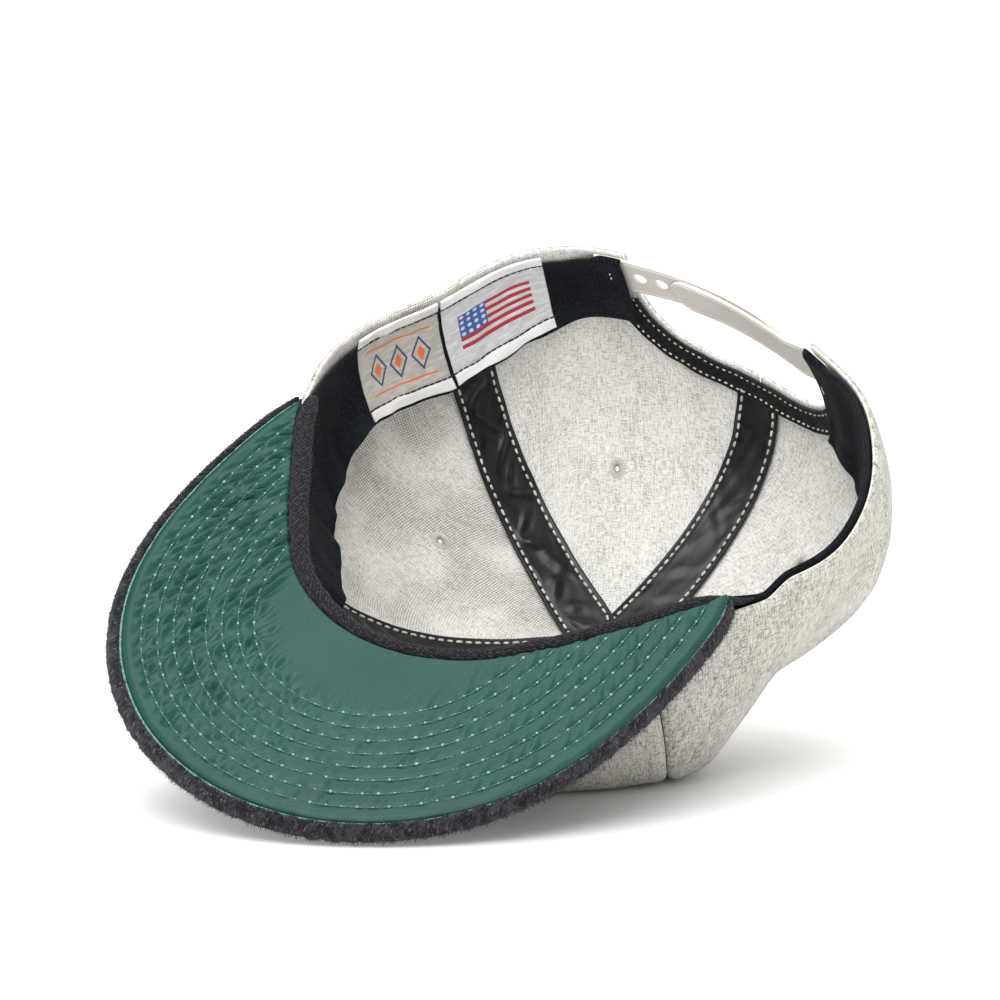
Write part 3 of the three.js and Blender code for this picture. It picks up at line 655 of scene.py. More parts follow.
def tree_of(name, inputs):
    """An empty node tree for geometry with named inputs, its sockets and their identifiers."""
    tree = bpy.data.node_groups.new(name, "GeometryNodeTree")
    names = {}
    for label, kind in inputs:
        made = tree.interface.new_socket(label, in_out="INPUT", socket_type="NodeSocket" + kind)
        names[label] = made.identifier
    tree.interface.new_socket("Result", in_out="OUTPUT", socket_type="NodeSocketGeometry")
    return tree, tree.nodes.new("NodeGroupInput").outputs, names


def tree_node(tree, kind, inputs, **settings):
    """A node of such a tree: its settings, and the values or links of its sockets."""
    made = tree.nodes.new(kind)
    for key, setting in settings.items():
        setattr(made, key, setting)
    for key, item in inputs.items():
        if isinstance(item, bpy.types.NodeSocket):
            tree.links.new(item, made.inputs[key])
        else:
            made.inputs[key].default_value = item
    return made.outputs


def close_tree(tree, instances, material):
    """Ends a tree: its instances made real and dyed."""
    real = tree_node(tree, "GeometryNodeRealizeInstances", {0: instances})
    dyed = tree_node(tree, "GeometryNodeSetMaterial", {"Geometry": real[0], "Material": material})
    tree.links.new(dyed[0], tree.nodes.new("NodeGroupOutput").inputs[0])


def grown(name, carrier, tree, names, **inputs):
    """What a tree makes of a carrier, as a plain mesh object. The carrier is used up."""
    modifier = carrier.modifiers.new(tree.name, "NODES")
    modifier.node_group = tree
    for label, setting in inputs.items():
        modifier[names[label]] = setting
    evaluated = carrier.evaluated_get(bpy.context.evaluated_depsgraph_get())
    mesh = bpy.data.meshes.new_from_object(evaluated)
    mesh.name = name
    bpy.data.objects.remove(carrier)
    made = bpy.data.objects.new(name, mesh)
    bpy.context.scene.collection.objects.link(made)
    return made


stitch_form = unit_stitch()
bpy.context.scene.collection.objects.link(stitch_form)
sewing, given, sewing_names = tree_of("sewing", [
    ("Path", "Geometry"), ("Form", "Object"), ("Step", "Float"), ("Size", "Vector"),
    ("Least", "Float"), ("Most", "Float"), ("Seed", "Int"), ("Thread", "Material"),
])
spots = tree_node(sewing, "GeometryNodeCurveToPoints", {
    "Curve": given["Path"], "Length": given["Step"],
}, mode="LENGTH")
form = tree_node(sewing, "GeometryNodeObjectInfo", {"Object": given["Form"]})
chance = tree_node(sewing, "FunctionNodeRandomValue", {
    2: given["Least"], 3: given["Most"], "Seed": given["Seed"],
})
size = tree_node(sewing, "ShaderNodeVectorMath", {0: given["Size"], "Scale": chance[1]}, operation="SCALE")
stitches = tree_node(sewing, "GeometryNodeInstanceOnPoints", {
    "Points": spots["Points"], "Instance": form["Geometry"], "Rotation": spots["Rotation"], "Scale": size[0],
})
close_tree(sewing, stitches[0], given["Thread"])


def sew(name, paths, step, length, width, thread, seed, uneven=0.1):
    """Stitches along paths of worn points, as a plain mesh object. Sizes are in millimetres."""
    line = bpy.data.curves.new(name + "_line", "CURVE")
    line.dimensions = "3D"
    for path in paths:
        spline = line.splines.new("POLY")
        spline.points.add(len(path) - 1)
        spline.points.foreach_set("co", np.concatenate([laid(path), np.ones((len(path), 1))], 1).ravel())
    carrier = bpy.data.objects.new(name + "_line", line)
    bpy.context.scene.collection.objects.link(carrier)
    return grown(name, carrier, sewing, sewing_names, Form=stitch_form, Step=step / 1000,
                 Size=(width / 1000, width / 1000, length / 1000), Least=1 - uneven, Most=1 + uneven,
                 Seed=seed, Thread=thread)


white_thread = finish("white_thread", thread_look(rgb(236, 234, 230), rgb(180, 178, 174)))
wool_thread = finish("wool_thread", thread_look(rgb(226, 223, 215), rgb(176, 173, 166)))
tape_outer = WALL + TAPE_CLEARANCE
tape_inner = tape_outer + TAPE_THICKNESS
tape_middle = (tape_outer + tape_inner) / 2
WIDEST = 36


def tape_turn(bearing, rise, across):
    """Turn from a seam to a point across its tape."""
    radius = np.maximum(pace(bearing, rise) * 180 / math.pi - tape_inner, GAP)
    half = np.minimum(np.degrees(np.arctan(SEAM_TAPE / 2 / radius)), WIDEST)
    return half * across / (SEAM_TAPE / 2)


for order, (name, bearing) in enumerate(SEAMS.items()):
    foot = float(rise_at_height(TAPE_FOOT))
    if name == "back":
        foot = float(rise_along(bearing, ARCH_HEIGHT + ARCH_TAPE - 2))
    length = (TOP_HOLE_RISE - foot) * WALL_LENGTH
    run = crowded(length, 0.8)[:, None]
    rise = foot + run / WALL_LENGTH
    across = crowded(SEAM_TAPE, 0.7)[None] - SEAM_TAPE / 2
    bearings = bearing + tape_turn(bearing, rise, across)
    side = SEAM_TAPE / 2 - np.abs(across)
    body = TAPE_THICKNESS / 2 * rounded(np.minimum(side, run), 0.5)
    flat = smoothstep(side, 2.2, 4)
    soft = 0.12 * ripple(across, run, 40 + order, 5, 1 / 7)
    drawn = {"rear_left": 1.7, "back": 0.5}.get(name, 1)
    lift = flat * np.clip(drawn * creases(across, run, 20 + order, 7.5) + soft, -0.3, 1.5)
    lift = lift + 0.5 * bump_at(side, 0.6, 0.55) - 0.3 * bump_at(side, ROW_INSET, 0.5)
    over = 0.35 * (order % 3) * smoothstep(rise, 0.8, 0.93)
    rise = np.broadcast_to(rise, bearings.shape)
    outer = crown(bearings, rise, tape_middle - body + over)
    inner = crown(bearings, rise, tape_middle + body + lift + over)
    uv = np.stack(np.broadcast_arrays(across, run), -1)
    tape = two_sided(f"{name}_seam_tape_satin", outer, inner, uv, [tape_satin])
    dress(tape, "black_satin_tape", f"{name}_seam_tape")
    line = np.linspace(foot + 0.01, TOP_HOLE_RISE, 120)
    over = 0.35 * (order % 3) * smoothstep(line, 0.8, 0.93)
    row = SEAM_TAPE / 2 - ROW_INSET
    rows = [crown(bearing + tape_turn(bearing, line, s * row), line, tape_inner + over) for s in (-1, 1)]
    dress(sew(f"{name}_tape_stitches", rows, 3.2, 2.3, 0.95, white_thread, order), "eyelet_thread")
    line = np.linspace(float(panel_foot(bearing)) + 0.03, 0.955, 150)
    rows = [crown(bearing + s * TOPSTITCH / pace(bearing, line), line, 0.22) for s in (-1, 1)]
    dress(sew(f"{name}_topstitches", rows, 3.3, 2.5, 0.42, wool_thread, 50 + order), "grey_wool")


# Arch tape: black twill that binds the rear opening inside, over the upper end of the back tape,
# with a row of short pale stitches along each edge. Its ends run in behind the sweatband.
STRAP_WIDTH = 16.8
STRAP_FOOT = 0.4


def arch_point(angle, out):
    """Place along the rim and up the wall, a distance outside the arch's cut edge."""
    power = 2 / ARCH_POWER

    def at(turn):
        return np.stack([ARCH_HALF * np.sign(np.cos(turn)) * np.abs(np.cos(turn)) ** power,
                         ARCH_HEIGHT * np.abs(np.sin(turn)) ** power], -1)
    along = unit(at(angle + 0.01) - at(angle - 0.01))
    return at(angle) + np.stack([along[..., 1], -along[..., 0]], -1) * np.asarray(out)[..., None]


def back_wall(distance, height, inset):
    """A point by its distance from the back seam and its distance up the wall."""
    bearing = BACK - np.degrees(np.asarray(distance) / RIM_RADIUS)
    return crown(bearing, rise_along(bearing, height), inset)


arch_start = math.asin(((STRAP_FOOT + STRAP_WIDTH + 2 * WALL) / ARCH_HEIGHT) ** (ARCH_POWER / 2))
fine = np.linspace(arch_start, math.pi - arch_start, 1500)
steps = np.linalg.norm(np.diff(arch_point(fine, np.zeros(1500)), axis=0), axis=1)
walked = np.concatenate([[0], np.cumsum(steps)])
run = crowded(walked[-1], 0.9)[:, None]
across = crowded(ARCH_TAPE, 0.6)[None]
angle, out = np.broadcast_arrays(np.interp(run, walked, fine), WALL / 2 + across)
place = arch_point(angle, out)
side = np.minimum(across, ARCH_TAPE - across)
body = TAPE_THICKNESS / 2 * rounded(np.minimum(side, np.minimum(run, walked[-1] - run)), 0.5)
lift = 0.35 * bump_at(side, 0.6, 0.5) - 0.25 * bump_at(side, 1.6, 0.45)
lift = lift + 0.14 * ripple(across, run, 61, 5, 1 / 7) + 0.45
outer = back_wall(place[..., 0], place[..., 1], tape_middle - body)
inner = back_wall(place[..., 0], place[..., 1], tape_middle + body + lift)
uv = np.stack(np.broadcast_arrays(across, run), -1)
dress(two_sided("arch_tape_twill", outer, inner, uv, [tape_twill]), "black_satin_tape", "arch_tape")
rows = []
for out in (1.6, ARCH_TAPE - 1.6):
    turn = np.interp(np.arange(1, walked[-1], 0.3), walked, fine)
    line = arch_point(turn, np.full(len(turn), WALL / 2 + out))
    rows.append(back_wall(line[:, 0], line[:, 1], tape_inner + 0.35))
dress(sew("arch_tape_stitches", rows, 2.45, 1.25, 0.72, white_thread, 17), "eyelet_thread")


# Eyelets: a small round hole in each panel for air, oversewn with pale thread in a flat ring
# that grips the wool on both sides.
def ring_thread(cloth):
    spokes = cloth.wave(1.0)
    outside = cloth.maths("COSINE", cloth.part(1), 0.0)
    colour = (spokes * 0.3 + 0.6).between(0.2, 0.9).blend(rgb(214, 207, 196), rgb(240, 236, 228))
    colour = outside.between(0.2, 1.0).blend(colour, rgb(206, 190, 174))
    return colour, spokes * 0.1 + 0.7, spokes * 0.00015


eyelet_cloth = finish("eyelet_thread", ring_thread)
for name, middle in EYELET_BEARINGS.items():
    turn = np.linspace(0, 2 * math.pi, 97)[None]
    ring = np.linspace(0, 2 * math.pi, 17)[:, None]
    radius = 2.1 + 1.5 * np.cos(ring) + 0.06 * np.cos(turn * EYELET_STITCHES)
    height = 0.1 + (WALL / 2 + 0.15) * np.sin(ring) * (1 + 0.12 * np.cos(turn * EYELET_STITCHES))
    x = radius * np.cos(turn)
    y = radius * np.sin(turn)
    bearing = middle + x / float(pace(middle, EYELET_RISE))
    points = crown(bearing, EYELET_RISE + y / WALL_LENGTH, WALL / 2 + height)
    uv = np.stack(np.broadcast_arrays(turn * EYELET_STITCHES / (2 * math.pi), ring), -1)
    grid = np.arange(radius.size).reshape(radius.shape)
    flat = laid(points.reshape(-1, 3))
    faces = outward(flat, quads(grid))
    eyelet = add_mesh(f"{name}_eyelet_ring", flat, faces, [eyelet_cloth], uv.reshape(-1, 2))
    form = bmesh.new()
    form.from_mesh(eyelet.data)
    bmesh.ops.remove_doubles(form, verts=form.verts, dist=1e-6)
    form.to_mesh(eyelet.data)
    form.free()
    eyelet.data.shade_smooth()
    dress(eyelet, "eyelet_thread", f"{name}_eyelet")


# Button: a metal blank covered in the same wool, riveted through the crown's top, where the six
# panels meet.
BUTTON = [(0, 3.7), (1.5, 3.68), (3, 3.52), (4.5, 3.2), (5.8, 2.65), (6.8, 1.9), (7.35, 1.15),
          (7.5, 0.7), (7.35, 0.4), (6.9, 0.3), (3, 0.3), (2.9, -1.7), (0, -1.8)]
top = free_skin(0, 1, 0)
button = turned_form("top_button_wool", BUTTON, lambda x, y, z: np.stack([x, y, z], -1) + top, [wool_out])
dress(button, "grey_wool", "top_button")


# Straps: off-white moulded plastic, one with round holes and one with studs that snap into them,
# both with a raised line along the edge. The studded one lies inside, and both tuck in by the band.
STRAP_THICKNESS = 1.2
STRAP_CLEARANCE = 0.8
STRAP_TUCK = 10
STRAP_OVERLAP = 23
STRAP_RUNOUT = 6
PEG_PITCH = 7.6
PEG_START = 0.6
HOLE_RADIUS = 2.2
strap_outer = WALL + STRAP_CLEARANCE
strap_step = STRAP_THICKNESS + 2 * GAP


def moulded(cloth):
    place = cloth.node("ShaderNodeTexCoord", {}, out="Object")
    haze = place.noise(35, 35, 2.0)
    colour = haze.between(0.3, 0.7).blend(rgb(216, 210, 203), rgb(228, 223, 217))
    return colour, haze * 0.2 + 0.28, haze * 0.0002


strap_look = finish("strap_plastic", moulded, Specular_IOR_Level=0.5)


def strap_place(distance, height, depth, inner):
    """A point of a strap: depth runs from its outer face (0) to the wearer's side."""
    close = 1 - smoothstep(distance, STRAP_OVERLAP + STRAP_RUNOUT, ARCH_HALF)
    inset = strap_outer + depth + (strap_step * close if inner else 0)
    return back_wall(distance, STRAP_FOOT + height, inset)


def strap_border(tucked, tip, margin):
    """Outline of a strap, square at its tucked end and round at its tip."""
    radius = STRAP_WIDTH / 2 - margin
    way = math.copysign(1, tip - tucked)
    turn = np.linspace(-math.pi / 2, math.pi / 2, 25)
    x = tip - way * (STRAP_WIDTH / 2) + way * radius * np.cos(turn)
    y = STRAP_WIDTH / 2 + radius * np.sin(turn)
    return np.concatenate([[[tucked, margin]], np.stack([x, y], -1), [[tucked, STRAP_WIDTH - margin]]])


holes = [-ARCH_HALF + PEG_PITCH * (k + PEG_START) for k in range(8)]
turn = np.linspace(0, 2 * math.pi, 28, endpoint=False)
for name, tucked, tip, inner in (("strap_with_holes", -ARCH_HALF - STRAP_TUCK, STRAP_OVERLAP, False),
                                 ("strap_with_pegs", ARCH_HALF + STRAP_TUCK, -STRAP_OVERLAP, True)):
    shape = bpy.data.curves.new(name, "CURVE")
    shape.dimensions = "2D"
    shape.fill_mode = "BOTH"
    shape.bevel_depth = 0.25
    shape.bevel_resolution = 2
    shape.offset = -0.25
    shape.extrude = STRAP_THICKNESS / 2 - 0.25
    loops = [strap_border(tucked, tip, 0)]
    if not inner:
        loops += [np.stack([x + HOLE_RADIUS * np.cos(turn), STRAP_WIDTH / 2 + HOLE_RADIUS * np.sin(turn)], -1)
                  for x in holes]
    for loop in loops:
        spline = shape.splines.new("POLY")
        spline.points.add(len(loop) - 1)
        spline.points.foreach_set("co", np.concatenate([loop, np.tile([0, 1], (len(loop), 1))], 1).ravel())
        spline.use_cyclic_u = True
    blank = bpy.data.objects.new(name, shape)
    bpy.context.scene.collection.objects.link(blank)
    mesh = bpy.data.meshes.new_from_object(blank.evaluated_get(bpy.context.evaluated_depsgraph_get()))
    bpy.data.objects.remove(blank)
    form = bmesh.new()
    form.from_mesh(mesh)
    bmesh.ops.remove_doubles(form, verts=form.verts, dist=0.001)
    for cut in np.arange(min(tucked, tip) + 1.5, max(tucked, tip), 1.5):
        bmesh.ops.bisect_plane(form, geom=[*form.verts, *form.edges, *form.faces], plane_co=(cut, 0, 0),
                               plane_no=(1, 0, 0))
    for cut in (1.5, 3.5, 6, 8.4, 10.8, 13.3, 15.3):
        bmesh.ops.bisect_plane(form, geom=[*form.verts, *form.edges, *form.faces], plane_co=(0, cut, 0),
                               plane_no=(0, 1, 0))
    flat = np.array([v.co for v in form.verts])
    bent = laid(strap_place(flat[:, 0], flat[:, 1], flat[:, 2] + STRAP_THICKNESS / 2, inner))
    for vert, place in zip(form.verts, bent):
        vert.co = place
    bmesh.ops.recalc_face_normals(form, faces=form.faces)
    form.to_mesh(mesh)
    form.free()
    mesh.name = name + "_plastic"
    mesh.shade_smooth()
    mesh.set_sharp_from_angle(angle=math.radians(24))
    mesh.materials.clear()
    mesh.materials.append(strap_look)
    strap = bpy.data.objects.new(name + "_plastic", mesh)
    bpy.context.scene.collection.objects.link(strap)
    dress(strap, "strap_plastic", name)


def tube(name, path, radius, materials, sides=7):
    """A round rod along a path of worn points, closed to a point at both ends."""
    along = unit(np.gradient(path, axis=0))
    across = unit(np.cross(along, down))
    other = np.cross(along, across)
    turn = np.linspace(0, 2 * math.pi, sides, endpoint=False)[None, :, None]
    thick = radius * rounded(np.minimum(np.arange(len(path)), np.arange(len(path))[::-1]), 3)[:, None, None]
    ring = path[:, None] + thick * (np.cos(turn) * across[:, None] + np.sin(turn) * other[:, None])
    grid = np.arange(len(path) * sides).reshape(len(path), sides)
    points = laid(ring.reshape(-1, 3))
    faces = outward(points, quads(np.concatenate([grid, grid[:, :1]], 1)))
    run = np.arange(len(path))[:, None] + np.zeros(sides)
    uv = np.stack([run, np.broadcast_to(turn[0, :, 0], run.shape)], -1).reshape(-1, 2) / 1000
    return add_mesh(name, points, faces, materials, uv)


for name, tucked, tip, inner in (("holed_strap_line", -ARCH_HALF, STRAP_OVERLAP, False),
                                 ("studded_strap_line", ARCH_HALF, -STRAP_OVERLAP, True)):
    border = strap_border(tucked, tip, 1.2)
    steps = np.concatenate([[0], np.cumsum(np.linalg.norm(np.diff(border, axis=0), axis=1))])
    even = np.arange(0, steps[-1], 0.8)
    x = np.interp(even, steps, border[:, 0])
    y = np.interp(even, steps, border[:, 1])
    path = strap_place(x, y, np.full(len(x), STRAP_THICKNESS), inner)
    dress(tube(name, path, 0.33, [strap_look]), "strap_plastic")
STUD = [(0, 0.3), (1.8, 0.2), (1.8, -1.5), (1.95, -1.9), (1.95, -2.3), (1.6, -2.7), (0.9, -2.9), (0, -2.95)]


def stud_place(middle):
    """Lays a stud on the inner strap's middle line, through the outer strap's hole."""
    def place(x, y, along):
        return strap_place(middle + x, STRAP_WIDTH / 2 + y, along, True)
    return place


for k in range(2, len(holes)):
    stud = turned_form(f"stud_{k}", STUD, stud_place(holes[k]), [strap_look], 20)
    dress(stud, "strap_plastic")


# Sweatband: navy twill sewn in along the rim, its free edge standing away from the wall in waves.
# Its foot shows as a dark line past the hem on the wearer's right, and tacks hold its two ends.
BAND_THICKNESS = 1.2
BAND_HEIGHT = 34
BAND_FOOT = 4.6
BAND_CLEARANCE = 0.7
BAND = {
    "bearing": [0, 40, 80, 105, 120, 132, 146, 204, 219, 232, 248, 264, 278, 292, 303, 315, 338],
    "flare": [0.25, 0.24, 0.16, 0.21, 0.26, 0.21, 0.11, 0.08, 0.09, 0.12, 0.2, 0.29, 0.26, 0.3,
              0.35, 0.38, 0.28],
    "tall": [1, 1, 1, 1, 1, 1, 0.98, 0.7, 0.86, 0.94, 0.92, 0.87, 0.98, 1.03, 1, 1, 1],
}


def navy_twill(cloth):
    ribs = cloth.wave(1150, 0.9)
    fluff = cloth.noise(1100, 700, 2.0)
    broad_patches = cloth.noise(55, 55)
    colour = (fluff * 0.7 + ribs * 0.1 + broad_patches * 0.4).between(0.4, 0.8).blend(rgb(11, 13, 17), rgb(34, 38, 45))
    return colour, fluff * 0.1 + 0.82, ribs * 0.00004 + fluff * 0.00012


band_cloth = finish("navy_twill", navy_twill, Sheen_Weight=0.05, Specular_IOR_Level=0.08)
band_end = math.degrees(ARCH_HALF / RIM_RADIUS)


def band_outer(bearing):
    """Distance of the band's outer face from the crown's skin."""
    along = np.radians(np.abs(away_from(bearing, BACK))) * RIM_RADIUS
    tucked = 1 - smoothstep(along, ARCH_HALF + STRAP_TUCK, ARCH_HALF + 2 * STRAP_TUCK)
    near = WALL + BAND_CLEARANCE
    return near + (strap_outer + STRAP_THICKNESS + GAP - near) * tucked


def band_point(bearing, height, inset):
    """A point inside the band's outer face, which stands away from the wall in soft waves."""
    share = np.clip((np.asarray(height) - BAND_FOOT) / BAND_HEIGHT, 0, 1.2)
    flare = around(BAND, "flare", bearing) * BAND_HEIGHT * share**1.5
    along = np.radians(away_from(bearing, 0)) * RIM_RADIUS
    waves = 0.7 * ripple(along, height * 0.3, 71, 6, 1 / 26) + 0.35 * ripple(along, height, 73, 6, 1 / 11)
    return crown(bearing, rise_at_height(height), band_outer(bearing) + flare + share**1.6 * waves + inset)


bearing = np.linspace(BACK + band_end, BACK + 360 - band_end, 420)[None]
share = (crowded(BAND_HEIGHT, 1.0) / BAND_HEIGHT)[:, None]
tall = BAND_HEIGHT * around(BAND, "tall", bearing)
along = np.radians(bearing - BACK) * RIM_RADIUS
from_end = np.minimum(bearing - BACK - band_end, BACK + 360 - band_end - bearing) * 1.6
turn = away_from(bearing, 0)
past_hem = smoothstep(turn, 70, 79)
hem_height = np.minimum(CROWN_DEPTH * np.sin(panel_foot(bearing) * math.pi / 2), BRIM_THICKNESS + HEM_LIFT)
at_corner = smoothstep(turn, 56, 68)
foot = BAND_FOOT + (1.0 - BAND_FOOT) * at_corner
foot = foot + (hem_height - 0.75 - foot) * past_hem - 5.0 * (1 - smoothstep(from_end, 7, 22))
foot = np.maximum(foot, -0.75)
height = foot + (BAND_FOOT + tall - foot) * share
bearing = np.broadcast_to(bearing, height.shape)
edge = np.minimum(height - foot, BAND_FOOT + tall - height)
body = BAND_THICKNESS / 2 * rounded(edge, 0.6)
hem = 0.3 * bump_at(BAND_FOOT + tall - height, 2.4, 0.5)
gap_to_wall = band_outer(bearing) - WALL - BAND_CLEARANCE
wrap = smoothstep(gap_to_wall, 0.3, 2) * (1 - smoothstep(height, -0.5, 0.45))
middle_inset = BAND_THICKNESS / 2 + 0.5 - wrap * (gap_to_wall + 0.3)
outer = band_point(bearing, height, middle_inset - body)
inner = band_point(bearing, height, middle_inset + body - hem)
uv = np.stack([np.broadcast_to(along, height.shape), height], -1)
dress(two_sided("sweatband_twill", outer, inner, uv, [band_cloth]), "navy_twill", "sweatband")
rows = []
for end, height in ((BACK + band_end + 3.0, 6.5), (BACK + 360 - band_end - 2.2, 12)):
    rows.append(band_point(np.full(12, end), np.linspace(height, height + 2.2, 12), BAND_THICKNESS + 0.55))
dress(sew("band_tacks", rows, 1.1, 1.2, 0.5, white_thread, 23), "eyelet_thread")


# Labels: two woven tags sewn to the sweatband over the rim, side by side, with a folded border
# along both long edges and a dark stitch line beside it. They are woven with plain ornament only.
LABEL_HEIGHT = 37
LABEL_FOOT = 0.4
BORDER = 4.2


def inside(value, low, high, soft=0.15):
    return value.between(low, low + soft) * value.between(high - soft, high, 1.0, 0.0)


def woven(cloth, light, dark, bordering):
    """Satin ground with fine ribs, and the paler folded borders."""
    gloss = cloth.noise(200, 700)
    ribs = cloth.wave(2200, math.pi / 2)
    y = cloth.part(1) * 1000
    # The paler and darker streaks follow the gloss noise: painted sheen on the satin ground.
    colour = (ribs * 0.1 + gloss * 0.9).between(0.3, 0.75).blend(dark, light)
    middle = inside(y, BORDER + 0.2, LABEL_HEIGHT - BORDER - 0.2)
    return middle.blend(bordering, colour), gloss * 0.2 + 0.36, ribs * 0.00003


def lozenge_weave(cloth):
    """A row of navy lozenges with orange hearts, between two orange lines."""
    colour, rough, height = woven(cloth, rgb(206, 201, 193), rgb(178, 173, 165), rgb(226, 224, 220))
    x = cloth.part(0) * 1000
    y = cloth.part(1) * 1000
    across = cloth.maths("ABSOLUTE", cloth.maths("FRACT", (x - 4.25) / 9) - 0.5) * (9 / 4.1)
    reach = across + cloth.maths("ABSOLUTE", y - 18.5) / 7.8
    room = inside(x, 4.2, 31.3)
    outline = inside(reach, 0.72, 0.98, 0.05) * room
    heart = reach.between(0.4, 0.46, 1.0, 0.0) * room
    lines = (inside(y, 8.4, 9.3) + inside(y, 27.6, 28.5)) * room
    colour = outline.blend(colour, rgb(62, 72, 108))
    return (heart + lines).blend(colour, rgb(222, 118, 70)), rough, height


def stripe_weave(cloth):
    """Red stripes beside a blue block with a grid of pale dots."""
    colour, rough, height = woven(cloth, rgb(232, 231, 232), rgb(204, 203, 206), rgb(244, 243, 243))
    x = cloth.part(0) * 1000
    y = cloth.part(1) * 1000
    stripe = cloth.maths("SINE", (y - 10.9) * (2 * math.pi / 3.3)).between(-0.12, 0.12)
    field = inside(x, 6, 36) * inside(y, 11, 25.9)
    colour = (field * stripe).blend(colour, rgb(178, 40, 56))
    block = inside(x, 6, 18) * inside(y, 11, 20.9)
    colour = block.blend(colour, rgb(58, 92, 160))
    columns = cloth.maths("SINE", (x - 6) * (2 * math.pi / 6))
    rows = cloth.maths("SINE", (y - 11) * (2 * math.pi / 4.95))
    dots = cloth.maths("ABSOLUTE", columns * rows).between(0.45, 0.8)
    return (block * dots).blend(colour, rgb(206, 216, 236)), rough, height


silver_cloth = finish("silver_label", lozenge_weave, Sheen_Weight=0.1, Specular_IOR_Level=0.4)
white_cloth = finish("white_label", stripe_weave, Sheen_Weight=0.1, Specular_IOR_Level=0.4)
black_thread = finish("black_thread", thread_look(rgb(26, 26, 28), rgb(12, 12, 13)))
label_inset = BAND_THICKNESS + 0.9
LABELS = [
    ("label_silver", 244.7, 266, silver_cloth, "silver_label"),
    ("label_striped", 218.5, 243.9, white_cloth, "white_label"),
]
for order, (name, start, end, cloth, slot) in enumerate(LABELS):
    length = math.radians(end - start) * RIM_RADIUS
    across = crowded(length, 0.7)[None]
    share = (crowded(LABEL_HEIGHT, 0.7) / LABEL_HEIGHT)[:, None]
    bearing = start + across / length * (end - start)
    tall = LABEL_HEIGHT * around(BAND, "tall", bearing)
    height = LABEL_FOOT + tall * share
    bearing = np.broadcast_to(bearing, height.shape)
    side = np.minimum(across, length - across)
    border = LABEL_HEIGHT * np.minimum(share, 1 - share)
    body = 0.3 * rounded(np.minimum(border, side), 0.35)
    fold = 0.5 * (1 - smoothstep(border, BORDER - 0.2, BORDER + 0.15))
    fold = fold - 0.3 * bump_at(border, BORDER + 0.5, 0.4)
    pucker = 0.2 * ripple(across, height, 90 + order, 6, 1 / 11)
    outer = band_point(bearing, height, label_inset - body)
    inner = band_point(bearing, height, label_inset + body + fold + pucker)
    uv = np.stack(np.broadcast_arrays(length - across, LABEL_HEIGHT * share), -1)
    dress(two_sided(f"{name}_woven", outer, inner, uv, [cloth]), slot, name)
    line = np.linspace(start + 0.3, end - 0.3, 90)
    reach = around(BAND, "tall", line)
    rows = [band_point(line, LABEL_FOOT + reach * level, label_inset + 0.3)
            for level in (BORDER + 0.35, LABEL_HEIGHT - BORDER - 0.35)]
    dress(sew(f"{name}_stitches", rows, 2.4, 2.6, 0.62, black_thread, 30 + order), "black_satin_tape")


# Brim: a stiff board under a charcoal wool cover, which wraps its edge and is turned in below.
# The wool's nap stands up as short fibres that blur the edge.
LIP_WIDTH = 4
PROUD = 1.7
BRIM_TUCK = 0.9
UNDER_THICKNESS = 1.7
NAP_LENGTH = 1.5
NAP_DENSITY = 2000000
COLUMNS = 400


def fuzzy_wool(cloth):
    fluff = cloth.noise(900, 900, 2.0)
    tufts = cloth.noise(220, 220)
    flecks = cloth.noise(1500, 500)
    colour = (fluff * 0.6 + tufts * 0.5).between(0.42, 0.72).blend(rgb(28, 28, 32), rgb(60, 60, 67))
    colour = flecks.between(0.64, 0.78).blend(colour, rgb(98, 99, 106))
    return colour, fluff * 0.05 + 0.92, fluff * 0.0006 + tufts * 0.0004


brim_wool = finish("charcoal_wool", fuzzy_wool, Sheen_Weight=0.12, Sheen_Roughness=0.5,
                   Specular_IOR_Level=0.05)


def inside_rim(bearing, distance, height):
    """A point level with the rim, a distance inside it."""
    bearing = np.asarray(bearing, float)
    upward = skin(bearing, 0.006, 0) - skin(bearing, -0.006, 0)
    normal = np.cross(upward, skin(bearing + 0.5, 0, 0) - skin(bearing - 0.5, 0, 0))
    normal[..., 2] = 0
    point = skin(bearing, 0, 0) - unit(normal) * np.asarray(distance, float)[..., None]
    point[..., 2] = height
    return point


outline = brim_outline(COLUMNS)
joint = inside_rim(np.linspace(-BRIM_CORNER, BRIM_CORNER, COLUMNS), np.full(COLUMNS, BRIM_TUCK), 0)[:, :2]
reach = np.linalg.norm(outline - joint, axis=1)
spokes = (outline - joint) / reach[:, None]
around_brim = np.concatenate([[0], np.cumsum(np.linalg.norm(np.diff(outline, axis=0), axis=1))])
lip = LIP_WIDTH + 0.9 * (1 - smoothstep(around_brim, 70, 190))


def brim_line(share, margin, height):
    """Points under the brim's edge line: a share of the way out to its edge less a margin."""
    far = reach * np.maximum(1 - margin / reach, 0.2) * share
    return np.concatenate([joint + spokes * far[:, None], np.full((COLUMNS, 1), height)], 1)


